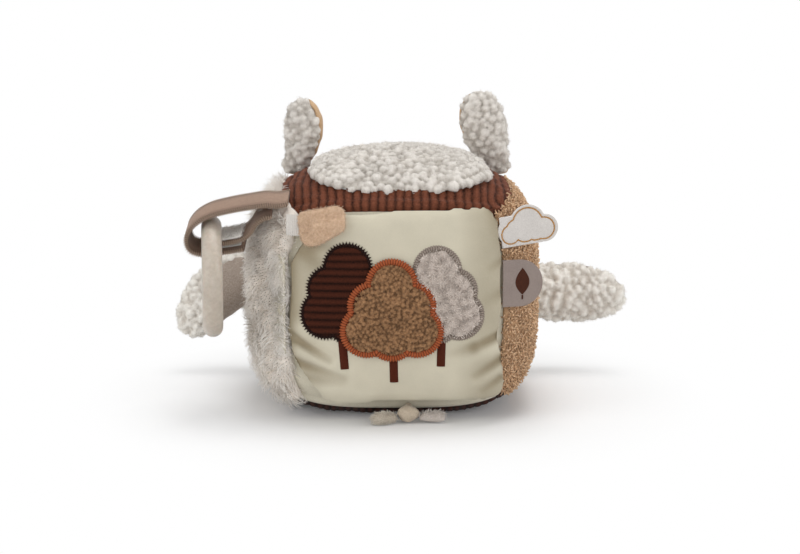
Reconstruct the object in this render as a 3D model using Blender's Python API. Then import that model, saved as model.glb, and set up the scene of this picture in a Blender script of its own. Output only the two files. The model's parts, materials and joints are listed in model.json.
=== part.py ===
"""A stuffed activity block for a baby.

Six fabric panels stand round a filling with a rattle in it. On them are a padded page on the front with
three appliqué trees, a stuffed cap with two ears, two arms, and a strap that holds a teething ring.

Metres, +Z up, +X to the right, the front faces -Y. The origin is the middle of the face the block rests on.
"""
import math

import bmesh
import bpy
from mathutils import Matrix, Vector

MM = 0.001

# Block body: a cube with soft corners, cut flat where it rests
BLOCK_HALF_X = 78.5 * MM
BLOCK_HALF_Y = 72 * MM
BLOCK_HALF_Z = 68.5 * MM
BLOCK_SQUARENESS = 3.6
REST_DEPTH = 2 * MM
FABRIC = 2.5 * MM
CLEARANCE = 0.35 * MM
PANEL_CELLS = 8
STUFFING_GAP = 0.7 * MM
PILE = {
    "front": 0.6 * MM,
    "back": 0.6 * MM,
    "left": 5.5 * MM,
    "right": 2.8 * MM,
    "top": 1 * MM,
    "bottom": 0.8 * MM,
}

# Rattle in the filling: a turned case in two halves with a loose ball
RATTLE_OUTER_RADIUS = 14 * MM
RATTLE_WALL = 1.6 * MM
RATTLE_HALF_LENGTH = 17 * MM
RATTLE_CORNER = 5 * MM
RATTLE_BALL_RADIUS = 5 * MM
RATTLE_SIDES = 16

# Page on the front, hinged on its sewn left edge
FLAP_SIDE_MARGIN = 20 * MM
FLAP_END_MARGIN = 14.5 * MM
FLAP_RISE = 0.5 * MM
FLAP_HALF_WIDTH = BLOCK_HALF_X - FLAP_SIDE_MARGIN
FLAP_HALF_HEIGHT = BLOCK_HALF_Z - FLAP_END_MARGIN
FLAP_HEIGHT = BLOCK_HALF_Z - REST_DEPTH + FLAP_RISE
FLAP_CORNER = 7 * MM
FLAP_STANDOFF = 9 * MM
LINING_THICKNESS = 1.4 * MM
FILM_THICKNESS = 0.3 * MM
FACE_THICKNESS = 2 * MM
SPINE_THICKNESS = 2 * MM
FLAP_CORNER_SHARES = (
    (-0.99, -0.52),
    (-1.00, 0.00),
    (-0.98, 0.50),
    (-0.72, 0.95),
    (0.95, 1.00),
    (0.98, 0.05),
    (1.00, -0.96),
    (-0.62, -0.98),
)
FLAP_RING_SHARES = (0.35, 0.68, 0.9)
FLAP_SPACING_SHARE = 0.25

# Trees sewn on the page
APPLIQUE_GAP = 0.45 * MM
BORDER_WIDTH = 3.6 * MM
BORDER_HEIGHT = 1.6 * MM
TRUNK_WIDTH = 4.6 * MM
TRUNK_HEIGHT = 1.1 * MM
CROWN_POINTS = 36
CROWN_HEIGHTS = {"left": 1.6 * MM, "middle": 2.6 * MM, "right": 2.2 * MM}
CROWN_LOBE_SHARES = (
    (0.00, 0.58, 0.42),
    (-0.36, 0.12, 0.44),
    (0.36, 0.12, 0.44),
    (-0.50, -0.42, 0.49),
    (0.50, -0.42, 0.49),
    (0.00, -0.52, 0.47),
)
CROWN_PLACE_SHARES = {"left": (-0.444, 0.139), "middle": (-0.034, -0.028), "right": (0.385, 0.120)}
CROWN_HALF_SHARES = {"left": (0.419, 0.519), "middle": (0.479, 0.528), "right": (0.427, 0.519)}
TRUNK_SHARES = {
    "left": (-0.496, -0.472, -0.639),
    "middle": (-0.020, -0.014, -0.778),
    "right": (0.427, 0.421, -0.611),
}

# Peach pad on a ribbon, sewn to the page's left edge
TAB_HALF_WIDTH = 13.5 * MM
TAB_HALF_HEIGHT = 10.5 * MM
TAB_THICKNESS = 5 * MM
TAB_EDGE_SHARE = 0.33
TAB_CORNER = 3 * MM
TAB_PLACE_SHARES = (-0.675, 0.806)
TAB_X = TAB_PLACE_SHARES[0] * FLAP_HALF_WIDTH
TAB_Z = FLAP_HEIGHT + TAB_PLACE_SHARES[1] * FLAP_HALF_HEIGHT
TAB_CORNER_SHARES = ((-0.95, -0.55), (-1.0, 0.62), (0.55, 1.0), (1.0, -0.05), (0.15, -1.0))
RIBBON_WIDTH = 11 * MM
RIBBON_THICKNESS = 1 * MM

# Labels at the page's free edge
LABEL_THICKNESS = 1.6 * MM
LABEL_SLANT = math.radians(18)
MOTIF_THICKNESS = 0.6 * MM
CLOUD_LENGTH = 31 * MM
CLOUD_HALF_HEIGHT = 13 * MM
CLOUD_PLACE_SHARE = 0.722
CLOUD_RISE = math.radians(7)
CLOUD_STITCH_INSET = 2.4 * MM
CLOUD_STITCH_WIDTH = 0.9 * MM
CLOUD_POINTS = 32
CLOUD_LOBE_SHARES = (
    (-0.62, -0.35, 0.50),
    (-0.05, 0.10, 0.86),
    (0.58, -0.05, 0.58),
    (0.50, -0.45, 0.50),
    (-0.30, -0.40, 0.55),
)
CLOUD_FOOT_SHARE = 0.9
LEAF_LABEL_LENGTH = 23 * MM
LEAF_LABEL_HALF_HEIGHT = 13 * MM
LEAF_LABEL_PLACE_SHARE = 0.213
LEAF_LENGTH = 17 * MM
LEAF_WIDTH = 9 * MM
LEAF_POINTS = 24
LEAF_PINCH = 1.6

# Stuffed cap on the top
CAP_SIDE_MARGIN = 25.5 * MM
CAP_END_MARGIN = 20 * MM
CAP_HALF_X = BLOCK_HALF_X - CAP_SIDE_MARGIN
CAP_HALF_Y = BLOCK_HALF_Y - CAP_END_MARGIN
CAP_MIDDLE_X = 2 * MM
CAP_MIDDLE_Y = -2 * MM
CAP_HEIGHT = 14 * MM
CAP_RIM = 4.5 * MM
CAP_WALL = 3 * MM
CAP_SQUARENESS = 3.2
CAP_SPOKES = 28
CAP_RING_SHARES = (0.3, 0.6, 0.82, 0.95, 1.0)

# Ears, each a front and a back half; the bend and the tip are measured from where the ear turns
EAR_DEPTH_FRONT = 8 * MM
EAR_DEPTH_BACK = 4 * MM
EAR_ROOT_RADIUS = 3.5 * MM
EAR_ROOT_SHARES = (0.752, 0.583, 0.829)
EAR_LEFT_HALF_WIDTH = 11.5 * MM
EAR_RIGHT_HALF_WIDTH = 13.5 * MM
EAR_LEFT_TIP = Vector((4.8, -0.2, 42.5)) * MM
EAR_RIGHT_TIP = Vector((-12.8, -0.2, 46.5)) * MM
EAR_LEFT_BEND = Vector((11.8, 1.8, 19.5)) * MM
EAR_RIGHT_BEND = Vector((-6.8, 1.8, 21.5)) * MM
EAR_STATION_SHARES = (0.16, 0.32, 0.5, 0.68, 0.82, 0.92, 0.98)
EAR_WIDTH_SHARES = (0.66, 0.82, 0.97, 1.0, 0.88, 0.62, 0.3)
EAR_ROOT_WIDTH_SHARE = 0.52
EAR_SEAT_SHARE = 0.9

# Arms, each a front and a back half; the bend and the tip are measured from where the arm turns
ARM_DEPTH_FRONT = 9 * MM
ARM_DEPTH_BACK = 6 * MM
ARM_ROOT_RADIUS = 5 * MM
ARM_ROOT_SHARES = (0.82, 0.82, -0.2)
ARM_HALF_WIDTH = 17.5 * MM
ARM_LEFT_TIP = Vector((-58.4, -5.6, -30.4)) * MM
ARM_RIGHT_TIP = Vector((72.9, 0.1, -3.4)) * MM
ARM_LEFT_BEND = Vector((-37.4, 12.4, 15.6)) * MM
ARM_RIGHT_BEND = Vector((30.9, 14.1, -0.4)) * MM
ARM_LEFT_TWIST = math.radians(50)
ARM_STATION_SHARES = (0.2, 0.36, 0.52, 0.68, 0.82, 0.92, 0.98)
ARM_WIDTH_SHARES = (0.9, 0.98, 1.0, 0.97, 0.84, 0.6, 0.3)
ARM_ROOT_WIDTH_SHARE = 0.82
ARM_SEAT_SHARE = 1.06
LIMB_ARC_POINTS = 8
LIMB_ROOT_ANGLES = (15, 45, 75)

# Strap: a long band round the ring and a short band that it closes on
STRAP_WIDTH = 25 * MM
STRAP_THICKNESS = 2 * MM
STRAP_SIDE_INSET = 20 * MM
STRAP_FRONT_INSET = 19 * MM
STRAP_DROP = 11.8 * MM
STRAP_ROOT_X = STRAP_SIDE_INSET - BLOCK_HALF_X
STRAP_MIDDLE_Y = STRAP_FRONT_INSET - BLOCK_HALF_Y
STRAP_ROOT_Z = 2 * BLOCK_HALF_Z - REST_DEPTH - STRAP_DROP
STRAP_TILT = math.radians(11)
STRAP_REACH = 56 * MM
STRAP_FALL = 26.9 * MM
STRAP_LONG_SHARES = (
    (0.00, 0.00),
    (0.107, 0.033),
    (0.232, 0.024),
    (0.393, 0.072),
    (0.571, 0.140),
    (0.768, 0.246),
    (0.911, 0.420),
    (0.991, 0.671),
    (0.969, 0.923),
    (0.866, 1.019),
    (0.732, 1.000),
    (0.571, 0.961),
    (0.429, 0.913),
)
STRAP_SHORT_SHARES = (
    (0.161, 0.265),
    (0.232, 0.285),
    (0.312, 0.401),
    (0.366, 0.575),
    (0.429, 0.691),
    (0.536, 0.763),
    (0.661, 0.797),
)
PATCH_THICKNESS = 0.8 * MM
PATCH_LENGTH = 13 * MM
PATCH_MARGIN = 4 * MM
PATCH_START_SHARE = 0.446
STRAP_STEPS = 3

# Teething ring
RING_CENTRE_RADIUS = 28 * MM
RING_TUBE_RADIUS = 5.6 * MM
RING_PLACE_SHARE = 0.768
RING_X = STRAP_ROOT_X - RING_PLACE_SHARE * STRAP_REACH
RING_SPOKES = 28
RING_SIDES = 10

# Knotted ribbon sewn into the front bottom seam
TAG_X = 7 * MM
TAG_KNOT_HALF = Vector((6.2, 5.4, 4.8)) * MM
TAG_FLOOR_GAP = 0.5 * MM
TAG_STEM_RADIUS = 2 * MM
TAG_END_LENGTH = 14 * MM
TAG_END_ROOT = 2.6 * MM
TAG_END_WIDE = 4 * MM
TAG_SIDES = 10
TAG_KNOT_RINGS = 8
TAG_KNOT_PINCH = 0.12
TAG_END_SHARES = ((0.0, 0.6), (0.25, 0.85), (0.6, 1.0), (0.88, 0.85), (1.0, 0.5))
TAG_END_FLATNESS = 0.8
TAG_ROOT_SHARE = 0.7
TAG_END_SLANTS = {"left": -0.5, "right": -0.1}

BLOCK_HALF = (BLOCK_HALF_X, BLOCK_HALF_Y, BLOCK_HALF_Z)
BLOCK_MIDDLE = Vector((0, 0, BLOCK_HALF_Z - REST_DEPTH))
SIDES = {
    "front": ((0, -1, 0), (1, 0, 0), (0, 0, 1)),
    "back": ((0, 1, 0), (-1, 0, 0), (0, 0, 1)),
    "left": ((-1, 0, 0), (0, -1, 0), (0, 0, 1)),
    "right": ((1, 0, 0), (0, 1, 0), (0, 0, 1)),
    "top": ((0, 0, 1), (1, 0, 0), (0, 1, 0)),
    "bottom": ((0, 0, -1), (1, 0, 0), (0, -1, 0)),
}


def material(name, red, green, blue, roughness):
    """A plain Principled material from an sRGB colour given in 0 to 255."""
    made = bpy.data.materials.new(name)
    made.use_nodes = True
    shader = made.node_tree.nodes["Principled BSDF"]
    linear = [((c / 255 + 0.055) / 1.055) ** 2.4 if c > 10 else c / 255 / 12.92 for c in (red, green, blue)]
    shader.inputs["Base Color"].default_value = (*linear, 1)
    shader.inputs["Roughness"].default_value = roughness
    shader.inputs["Metallic"].default_value = 0
    return made


def whereabouts(empty):
    """The world place of an empty, which may be carried by others."""
    place = Vector()
    while empty:
        place += empty.location
        empty = empty.parent
    return place


def pivot(name, place, parent=None):
    """An empty on a joint's axis, which carries the pieces that turn there."""
    empty = bpy.data.objects.new(name, None)
    empty.parent = parent
    empty.location = place - whereabouts(parent)
    bpy.context.scene.collection.objects.link(empty)
    return empty


def finish(name, bm, finish_material, parent=None):
    """Turn a closed bmesh in world metres into the object of that name, carried by its joint's empty."""
    bmesh.ops.recalc_face_normals(bm, faces=bm.faces[:])
    if bm.calc_volume(signed=True) < 0:
        bmesh.ops.reverse_faces(bm, faces=bm.faces[:])
    bmesh.ops.translate(bm, vec=-whereabouts(parent), verts=bm.verts[:])
    mesh = bpy.data.meshes.new(name)
    bm.to_mesh(mesh)
    bm.free()
    mesh.shade_smooth()
    mesh.set_sharp_from_angle(angle=math.radians(50))
    piece = bpy.data.objects.new(name, mesh)
    piece.data.materials.append(finish_material)
    piece.parent = parent
    bpy.context.scene.collection.objects.link(piece)
    return piece


def cut(piece, cutter_bm):
    """Subtract a hidden cutter from a piece."""
    tool = finish(piece.name + "_cutter", cutter_bm, piece.data.materials[0])
    tool.hide_render = True
    tool.display_type = "WIRE"
    step = piece.modifiers.new("cut", "BOOLEAN")
    step.operation = "DIFFERENCE"
    step.solver = "EXACT"
    step.object = tool


def loft(loops, closed=False):
    """Skin a row of equal loops; the ends close on their middles, or the row closes on itself."""
    bm = bmesh.new()
    rows = [[bm.verts.new(point) for point in loop] for loop in loops]
    pairs = list(zip(rows, rows[1:]))
    if closed:
        pairs.append((rows[-1], rows[0]))
    for low, high in pairs:
        for i in range(len(low)):
            j = (i + 1) % len(low)
            bm.faces.new((low[i], low[j], high[j], high[i]))
    if not closed:
        for row in (rows[0], rows[-1]):
            middle = bm.verts.new(sum((v.co for v in row), Vector()) / len(row))
            for i in range(len(row)):
                bm.faces.new((row[i], row[(i + 1) % len(row)], middle))
    return bm


def block_reach(direction):
    """Distance from the block's middle to its fabric along a unit direction."""
    terms = [(abs(d) / half) ** BLOCK_SQUARENESS for d, half in zip(direction, BLOCK_HALF)]
    return sum(terms) ** (-1 / BLOCK_SQUARENESS)


def block_point(shares, lift=0.0):
    """The block's surface towards shares of its half sizes, moved out by a lift and kept off the floor."""
    direction = Vector([s * half for s, half in zip(shares, BLOCK_HALF)]).normalized()
    point = BLOCK_MIDDLE + direction * (block_reach(direction) + lift)
    point.z = max(point.z, -lift, 0.0)
    return point


def block_normal(point):
    """The outward direction of the block's surface at a point."""
    offset = point - BLOCK_MIDDLE
    power = BLOCK_SQUARENESS - 1
    slopes = [math.copysign((abs(d) / half) ** power / half, d) for d, half in zip(offset, BLOCK_HALF)]
    return Vector(slopes).normalized()


def side_shares(side, u, v):
    """Shares of the half sizes at place u, v of one side, each from -1 to 1."""
    out, right, up = (Vector(d) for d in SIDES[side])
    return out + right * u + up * v


def sheet(bm, place):
    """Thicken a flat bmesh into a closed sheet: place gives each point its back and its front."""
    bmesh.ops.triangulate(bm, faces=bm.faces[:])
    back = bm.verts[:]
    grown = bmesh.ops.extrude_face_region(bm, geom=bm.faces[:])["geom"]
    front = [v for v in grown if isinstance(v, bmesh.types.BMVert)]
    for side, verts in enumerate((back, front)):
        for vert in verts:
            vert.co = place(vert.co)[side]
    return bm


def panel(side, fabric):
    """One sewn side: a curved sheet that is plump in the middle and thins out to its seams."""
    bm = bmesh.new()
    bmesh.ops.create_grid(bm, x_segments=PANEL_CELLS, y_segments=PANEL_CELLS, size=1)
    edge = 1 - CLEARANCE / min(BLOCK_HALF)

    def place(flat):
        shares = side_shares(side, flat.x * edge, flat.y * edge)
        plump = PILE[side] * math.sqrt(max(0.0, (1 - flat.x**4) * (1 - flat.y**4)))
        return block_point(shares, -FABRIC), block_point(shares, plump)

    finish("panel_" + side, sheet(bm, place), fabric)


def rattle_loop(radius, along):
    """One ring of a turned rattle piece, about an axis along Y."""
    turns = [2 * math.pi * k / RATTLE_SIDES for k in range(RATTLE_SIDES)]
    return [Vector((radius * math.cos(t), along, BLOCK_MIDDLE.z + radius * math.sin(t))) for t in turns]


def rattle_profile(radius, half_length, corner):
    """Radius and height of a closed half can, from near its end's middle to its rim."""
    arc = [math.radians(a) for a in (0, 30, 60, 90)]
    across = radius - corner
    along = half_length - corner
    rounded = [(across + corner * math.sin(a), along + corner * math.cos(a)) for a in arc]
    return rounded + [(radius, CLEARANCE / 2)]


def rattle(fabric, shell, ball):
    """The filling with its pocket, the rattle's two halves in it and the ball."""
    bm = bmesh.new()
    bmesh.ops.create_cube(bm, size=2)
    bmesh.ops.subdivide_edges(bm, edges=bm.edges[:], cuts=PANEL_CELLS - 1, use_grid_fill=True)
    for vert in bm.verts:
        vert.co = block_point(vert.co, -FABRIC - STUFFING_GAP)
    stuffing = finish("stuffing", bm, fabric)
    pocket_radius = RATTLE_OUTER_RADIUS + CLEARANCE
    pocket_floor = -RATTLE_HALF_LENGTH - CLEARANCE
    pocket_mouth = BLOCK_HALF_Y
    cut(stuffing, loft([rattle_loop(pocket_radius, end) for end in (pocket_floor, pocket_mouth)]))

    inner_radius = RATTLE_OUTER_RADIUS - RATTLE_WALL
    outside = rattle_profile(RATTLE_OUTER_RADIUS, RATTLE_HALF_LENGTH, RATTLE_CORNER)
    inside = rattle_profile(inner_radius, RATTLE_HALF_LENGTH - RATTLE_WALL, RATTLE_CORNER - RATTLE_WALL)
    for name, way in (("front", -1), ("back", 1)):
        loops = [rattle_loop(r, way * h) for r, h in outside + inside[::-1]]
        finish("rattle_case_" + name, loft(loops), shell)

    ball_height = BLOCK_MIDDLE.z - inner_radius + RATTLE_BALL_RADIUS + CLEARANCE
    centre = pivot("rattle_roll", Vector((0, 0, ball_height)))
    bm = bmesh.new()
    bmesh.ops.create_icosphere(bm, subdivisions=2, radius=RATTLE_BALL_RADIUS)
    bmesh.ops.translate(bm, vec=whereabouts(centre), verts=bm.verts[:])
    finish("rattle_ball", bm, ball, centre)


def rounded_outline(corners, radius, steps=3):
    """A closed outline through 2D corners, each rounded by an arc."""
    points = []
    for i, corner in enumerate(corners):
        here = Vector(corner)
        back = (Vector(corners[i - 1]) - here).normalized()
        ahead = (Vector(corners[(i + 1) % len(corners)]) - here).normalized()
        half = back.angle(ahead) / 2
        if half > math.radians(85):
            points.append(here)
            continue
        middle = here + (back + ahead).normalized() * radius / math.sin(half)
        start = here + back * radius / math.tan(half) - middle
        end = here + ahead * radius / math.tan(half) - middle
        turn = math.atan2(start.x * end.y - start.y * end.x, start.dot(end))
        for k in range(steps + 1):
            spun = start.copy()
            spun.rotate(Matrix.Rotation(turn * k / steps, 2))
            points.append(middle + spun)
    return points


def lobed_outline(lobes, count, inset=0.0):
    """The outline of overlapping circles (x, z, radius) seen from their shared middle."""
    points = []
    for k in range(count):
        turn = 2 * math.pi * k / count
        ray = Vector((math.cos(turn), math.sin(turn)))
        reach = 0.0
        for x, z, radius in lobes:
            along = ray.dot(Vector((x, z)))
            miss = radius**2 - (x * x + z * z - along**2)
            if miss > 0:
                reach = max(reach, along + math.sqrt(miss))
        points.append(ray * (reach - inset))
    return points


def grow(outline, distance):
    """Move each point of an outline about its middle outwards."""
    return [point + point.normalized() * distance for point in outline]


def layer(outline, middle, surface, low, high, edge, ring_shares=(0.5, 0.88)):
    """A sheet over a surface, from depth low at its back to high in front, thinning to edge all round."""
    bm = bmesh.new()
    pole = bm.verts.new()
    row = None
    for share in ring_shares + (1,):
        inside = row
        row = [bm.verts.new((p.x * share, p.y * share, share)) for p in outline]
        for i in range(len(row)):
            j = (i + 1) % len(row)
            corners = (inside[i], inside[j], row[j], row[i]) if inside else (pole, row[j], row[i])
            bm.faces.new(corners)

    def place(flat):
        x = middle.x + flat.x
        z = middle.y + flat.y
        rise = (high - edge) * math.sqrt(max(0.0, 1 - flat.z**4))
        return surface(x, z, low), surface(x, z, edge + rise)

    return sheet(bm, place)


def hoop(outer, inner, middle, surface, low, high):
    """A raised line between two outlines that follow each other, such as a row of stitches."""
    sections = []
    shoulder = (low + high) / 2
    for far, near in zip(outer, inner):
        crest = (far + near) / 2
        places = ((far, low), (far, shoulder), (crest, high), (near, shoulder), (near, low))
        sections.append([surface(middle.x + p.x, middle.y + p.y, depth) for p, depth in places])
    return loft(sections, closed=True)


FLAP_MIDDLE = Vector((0, FLAP_HEIGHT))
LINING_LOW = PILE["front"] + CLEARANCE
LINING_HIGH = LINING_LOW + LINING_THICKNESS
FILM_LOW = LINING_HIGH + CLEARANCE
FILM_HIGH = FILM_LOW + FILM_THICKNESS
FACE_LOW = FILM_HIGH + CLEARANCE
FACE_HIGH = FACE_LOW + FACE_THICKNESS
ON_FACE = FACE_HIGH + APPLIQUE_GAP


def flap_surface(x, z, depth):
    """A point of the page, which curves less than the block behind it."""
    across = abs(x / (BLOCK_HALF_X + FLAP_STANDOFF)) ** BLOCK_SQUARENESS
    upright = abs((z - BLOCK_MIDDLE.z) / (BLOCK_HALF_Z + FLAP_STANDOFF)) ** BLOCK_SQUARENESS
    bulge = max(1 - across - upright, 0.0) ** (1 / BLOCK_SQUARENESS)
    return Vector((x, -(BLOCK_HALF_Y + depth) * bulge, z))


def flap_outline():
    """The page's outline about its middle."""
    corners = [(x * FLAP_HALF_WIDTH, z * FLAP_HALF_HEIGHT) for x, z in FLAP_CORNER_SHARES]
    return rounded_outline(corners, FLAP_CORNER)


def densely(outline, pieces):
    """Split each run of an outline into equal pieces."""
    points = []
    for i, start in enumerate(outline):
        end = outline[(i + 1) % len(outline)]
        count = max(1, round((end - start).length / pieces))
        points += [start.lerp(end, k / count) for k in range(count)]
    return points


def flap(cream, film, hinge):
    """The page: its lining, its film and its face."""
    outline = densely(flap_outline(), FLAP_HALF_WIDTH * FLAP_SPACING_SHARE)
    lining = layer(
        outline, FLAP_MIDDLE, flap_surface, LINING_LOW, LINING_HIGH, LINING_HIGH, FLAP_RING_SHARES
    )
    finish("flap_lining", lining, cream, hinge)
    film_share = FLAP_RING_SHARES[-1]
    ring_shares = tuple(share / film_share for share in FLAP_RING_SHARES[:-1])
    inner = [point * film_share for point in outline]
    between = layer(inner, FLAP_MIDDLE, flap_surface, FILM_LOW, FILM_HIGH, FILM_HIGH, ring_shares)
    finish("crinkle_film", between, film, hinge)
    edge = FACE_LOW + FACE_THICKNESS / 2
    face = layer(outline, FLAP_MIDDLE, flap_surface, FACE_LOW, FACE_HIGH, edge, FLAP_RING_SHARES)
    finish("flap_face", face, cream, hinge)


def on_face(x, z, depth):
    """A point at a depth over the page's face."""
    return flap_surface(x, z, ON_FACE + depth)


def bar_outline(half_width, half_height, lean=0.0):
    """A straight bar's outline about its middle, its top moved aside by a lean."""
    corners = []
    for x, z in ((-1, -1), (1, -1), (1, 0), (1, 1), (-1, 1), (-1, 0)):
        corners.append(Vector((x * half_width + z * lean, z * half_height)))
    return corners


def tab(peach, ribbed, hinge):
    """The peach pad and the ribbon that it hangs on."""
    start = -FLAP_HALF_WIDTH
    end = TAB_X - TAB_HALF_WIDTH - CLEARANCE
    middle = Vector(((start + end) / 2, TAB_Z))
    outline = bar_outline((end - start) / 2, RIBBON_WIDTH / 2)
    ribbon = layer(outline, middle, on_face, 0, RIBBON_THICKNESS, RIBBON_THICKNESS)
    finish("tab_ribbon", ribbon, ribbed, hinge)
    edge = TAB_THICKNESS * TAB_EDGE_SHARE
    lift = pivot("tab_lift", on_face(TAB_X - TAB_HALF_WIDTH, TAB_Z, edge), hinge)
    corners = [(x * TAB_HALF_WIDTH, z * TAB_HALF_HEIGHT) for x, z in TAB_CORNER_SHARES]
    outline = rounded_outline(corners, TAB_CORNER)
    pad = layer(outline, Vector((TAB_X, TAB_Z)), on_face, 0, TAB_THICKNESS, edge)
    finish("tab", pad, peach, lift)


def spine(fabric):
    """The strip from the block's left front seam to the page's edge."""
    near = flap_surface(-FLAP_HALF_WIDTH - 2 * CLEARANCE, BLOCK_MIDDLE.z, FACE_LOW)
    top = FLAP_HEIGHT + FLAP_CORNER_SHARES[2][1] * FLAP_HALF_HEIGHT
    bottom = FLAP_HEIGHT + FLAP_CORNER_SHARES[0][1] * FLAP_HALF_HEIGHT
    loops = []
    for k in range(5):
        z = bottom + (top - bottom) * k / 4
        share = (z - BLOCK_MIDDLE.z) / BLOCK_HALF_Z
        seam = block_point((-1, -1, share), CLEARANCE)
        run = Vector((near.x - seam.x, near.y - seam.y)).normalized()
        side = Vector((run.y, -run.x, 0)) * SPINE_THICKNESS
        start = Vector((seam.x, seam.y, z))
        end = Vector((near.x, near.y, z))
        loops.append([start, end, end + side, start + side])
    finish("flap_spine", loft(loops), fabric)


def crown_lobes(half_width, half_height):
    """The circles that make one tree crown, in metres about its middle."""
    size = (half_width + half_height) / 2
    return [(x * half_width, z * half_height, r * size) for x, z, r in CROWN_LOBE_SHARES]


def on_page(place_shares):
    """A place on the page, in X and Z, from shares of its half sizes."""
    return Vector((place_shares[0] * FLAP_HALF_WIDTH, FLAP_HEIGHT + place_shares[1] * FLAP_HALF_HEIGHT))


def crown_outline(name):
    """The outline of one tree's crown with its border, about its middle."""
    half_width = CROWN_HALF_SHARES[name][0] * FLAP_HALF_WIDTH
    half_height = CROWN_HALF_SHARES[name][1] * FLAP_HALF_HEIGHT
    return lobed_outline(crown_lobes(half_width, half_height), CROWN_POINTS)


def trunk(name, thread, hinge):
    """One satin-stitched trunk, a narrow raised bar from the crown down."""
    top_share, foot_share, end_share = TRUNK_SHARES[name]
    crown = on_page(CROWN_PLACE_SHARES[name])
    foot = on_page((foot_share, end_share))
    top = on_page((top_share, 0))
    over = [p.y for p in crown_outline(name) if abs(crown.x + p.x - top.x) < BORDER_WIDTH]
    top.y = crown.y + min(over) - 2 * CLEARANCE
    middle = (top + foot) / 2
    outline = bar_outline(TRUNK_WIDTH / 2, (top.y - foot.y) / 2, (top.x - foot.x) / 2)
    bar = layer(outline, middle, on_face, 0, TRUNK_HEIGHT, TRUNK_HEIGHT / 2)
    return finish("trunk_" + name, bar, thread, hinge)


def tree(name, fabric, thread, trunk_thread, hinge):
    """One appliqué tree: its crown, the border sewn round it and its trunk."""
    middle = on_page(CROWN_PLACE_SHARES[name])
    outer = crown_outline(name)
    inner = grow(outer, -BORDER_WIDTH)
    height = CROWN_HEIGHTS[name]
    crown = layer(grow(inner, -CLEARANCE), middle, on_face, 0, height, height / 2)
    border = hoop(outer, inner, middle, on_face, 0, BORDER_HEIGHT)
    return [
        finish("crown_" + name, crown, fabric, hinge),
        finish("border_" + name, border, thread, hinge),
        trunk(name, trunk_thread, hinge),
    ]


def trees(hinge, fabrics, threads, trunk_thread):
    """The three trees; the middle one covers the edges of the other two."""
    middle = on_page(CROWN_PLACE_SHARES["middle"])
    cover = [middle + p for p in grow(crown_outline("middle"), CLEARANCE)]
    tree("middle", fabrics["middle"], threads["middle"], trunk_thread, hinge)
    for name in ("left", "right"):
        for piece in tree(name, fabrics[name], threads[name], trunk_thread, hinge):
            ends = [[Vector((p.x, y, p.y)) for p in cover] for y in (-2 * BLOCK_HALF_Y, 0)]
            cut(piece, loft(ends))


def free_edge(height):
    """The X of the page's free edge at a height over its middle."""
    right = [p for p in densely(flap_outline(), CLEARANCE) if p.x > 0]
    return min(right, key=lambda p: abs(p.y - height)).x


def label_frame(place_share, rise, root_half=0.0):
    """Where a label leaves the page's free edge, and a function for the points on and over it."""
    height = place_share * FLAP_HALF_HEIGHT
    edge_x = max(free_edge(height - root_half), free_edge(height + root_half))
    edge = flap_surface(edge_x, FLAP_HEIGHT + height, (FACE_LOW + LINING_HIGH) / 2)
    start = edge + Vector((2 * CLEARANCE, 0, 0))
    level = Vector((math.cos(LABEL_SLANT), math.sin(LABEL_SLANT), 0))
    run = level * math.cos(rise) + Vector((0, 0, math.sin(rise)))
    out = Vector((level.y, -level.x, 0))
    up = out.cross(run)

    def surface(along, aside, depth):
        return start + run * along + up * aside + out * depth

    return start, surface


def cloud_outline(inset):
    """A cloud with a flat foot, about its middle."""
    half = CLOUD_LENGTH / 2
    high = CLOUD_HALF_HEIGHT
    lobes = [(x * half, z * high, r * high) for x, z, r in CLOUD_LOBE_SHARES]
    foot = inset - CLOUD_FOOT_SHARE * high
    outline = lobed_outline(lobes, CLOUD_POINTS, inset)
    return [Vector((max(p.x, -half + inset), max(p.y, foot))) for p in outline]


def cloud_label(hinge, leather, thread):
    """The cloud label with its row of stitches."""
    start, surface = label_frame(CLOUD_PLACE_SHARE, CLOUD_RISE)
    bend = pivot("cloud_flex", start, hinge)
    middle = Vector((CLOUD_LENGTH / 2, 0))
    half = LABEL_THICKNESS / 2
    body = layer(cloud_outline(0), middle, surface, -half, half, half, (0.5,))
    finish("label_cloud", body, leather, bend)
    outer = cloud_outline(CLOUD_STITCH_INSET)
    inner = cloud_outline(CLOUD_STITCH_INSET + CLOUD_STITCH_WIDTH)
    low = half + CLEARANCE
    finish("cloud_stitching", hoop(outer, inner, middle, surface, low, low + MOTIF_THICKNESS), thread, bend)


def leaf_label(hinge, cloth, ink):
    """The label with a round end and a leaf on it."""
    start, surface = label_frame(LEAF_LABEL_PLACE_SHARE, 0, LEAF_LABEL_HALF_HEIGHT)
    bend = pivot("leaf_flex", start, hinge)
    middle = Vector((LEAF_LABEL_LENGTH / 2, 0))
    half = LABEL_THICKNESS / 2
    high = LEAF_LABEL_HALF_HEIGHT
    straight = LEAF_LABEL_LENGTH - high
    outline = [Vector((0, high)), Vector((0, 0)), Vector((0, -high))]
    for turn in (math.radians(a) for a in range(-90, 91, 15)):
        outline.append(Vector((straight + high * math.cos(turn), high * math.sin(turn))))
    body = layer([p - middle for p in outline], middle, surface, -half, half, half, (0.5,))
    finish("label_leaf", body, cloth, bend)
    leaf = []
    for k in range(LEAF_POINTS):
        turn = 2 * math.pi * k / LEAF_POINTS
        width = math.copysign(abs(math.cos(turn)) ** LEAF_PINCH, math.cos(turn)) * LEAF_WIDTH / 2
        leaf.append(Vector((width, math.sin(turn) * LEAF_LENGTH / 2)))
    low = half + CLEARANCE
    high = low + MOTIF_THICKNESS
    finish("leaf_motif", layer(leaf, middle, surface, low, high, high, (0.5,)), ink, bend)


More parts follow.
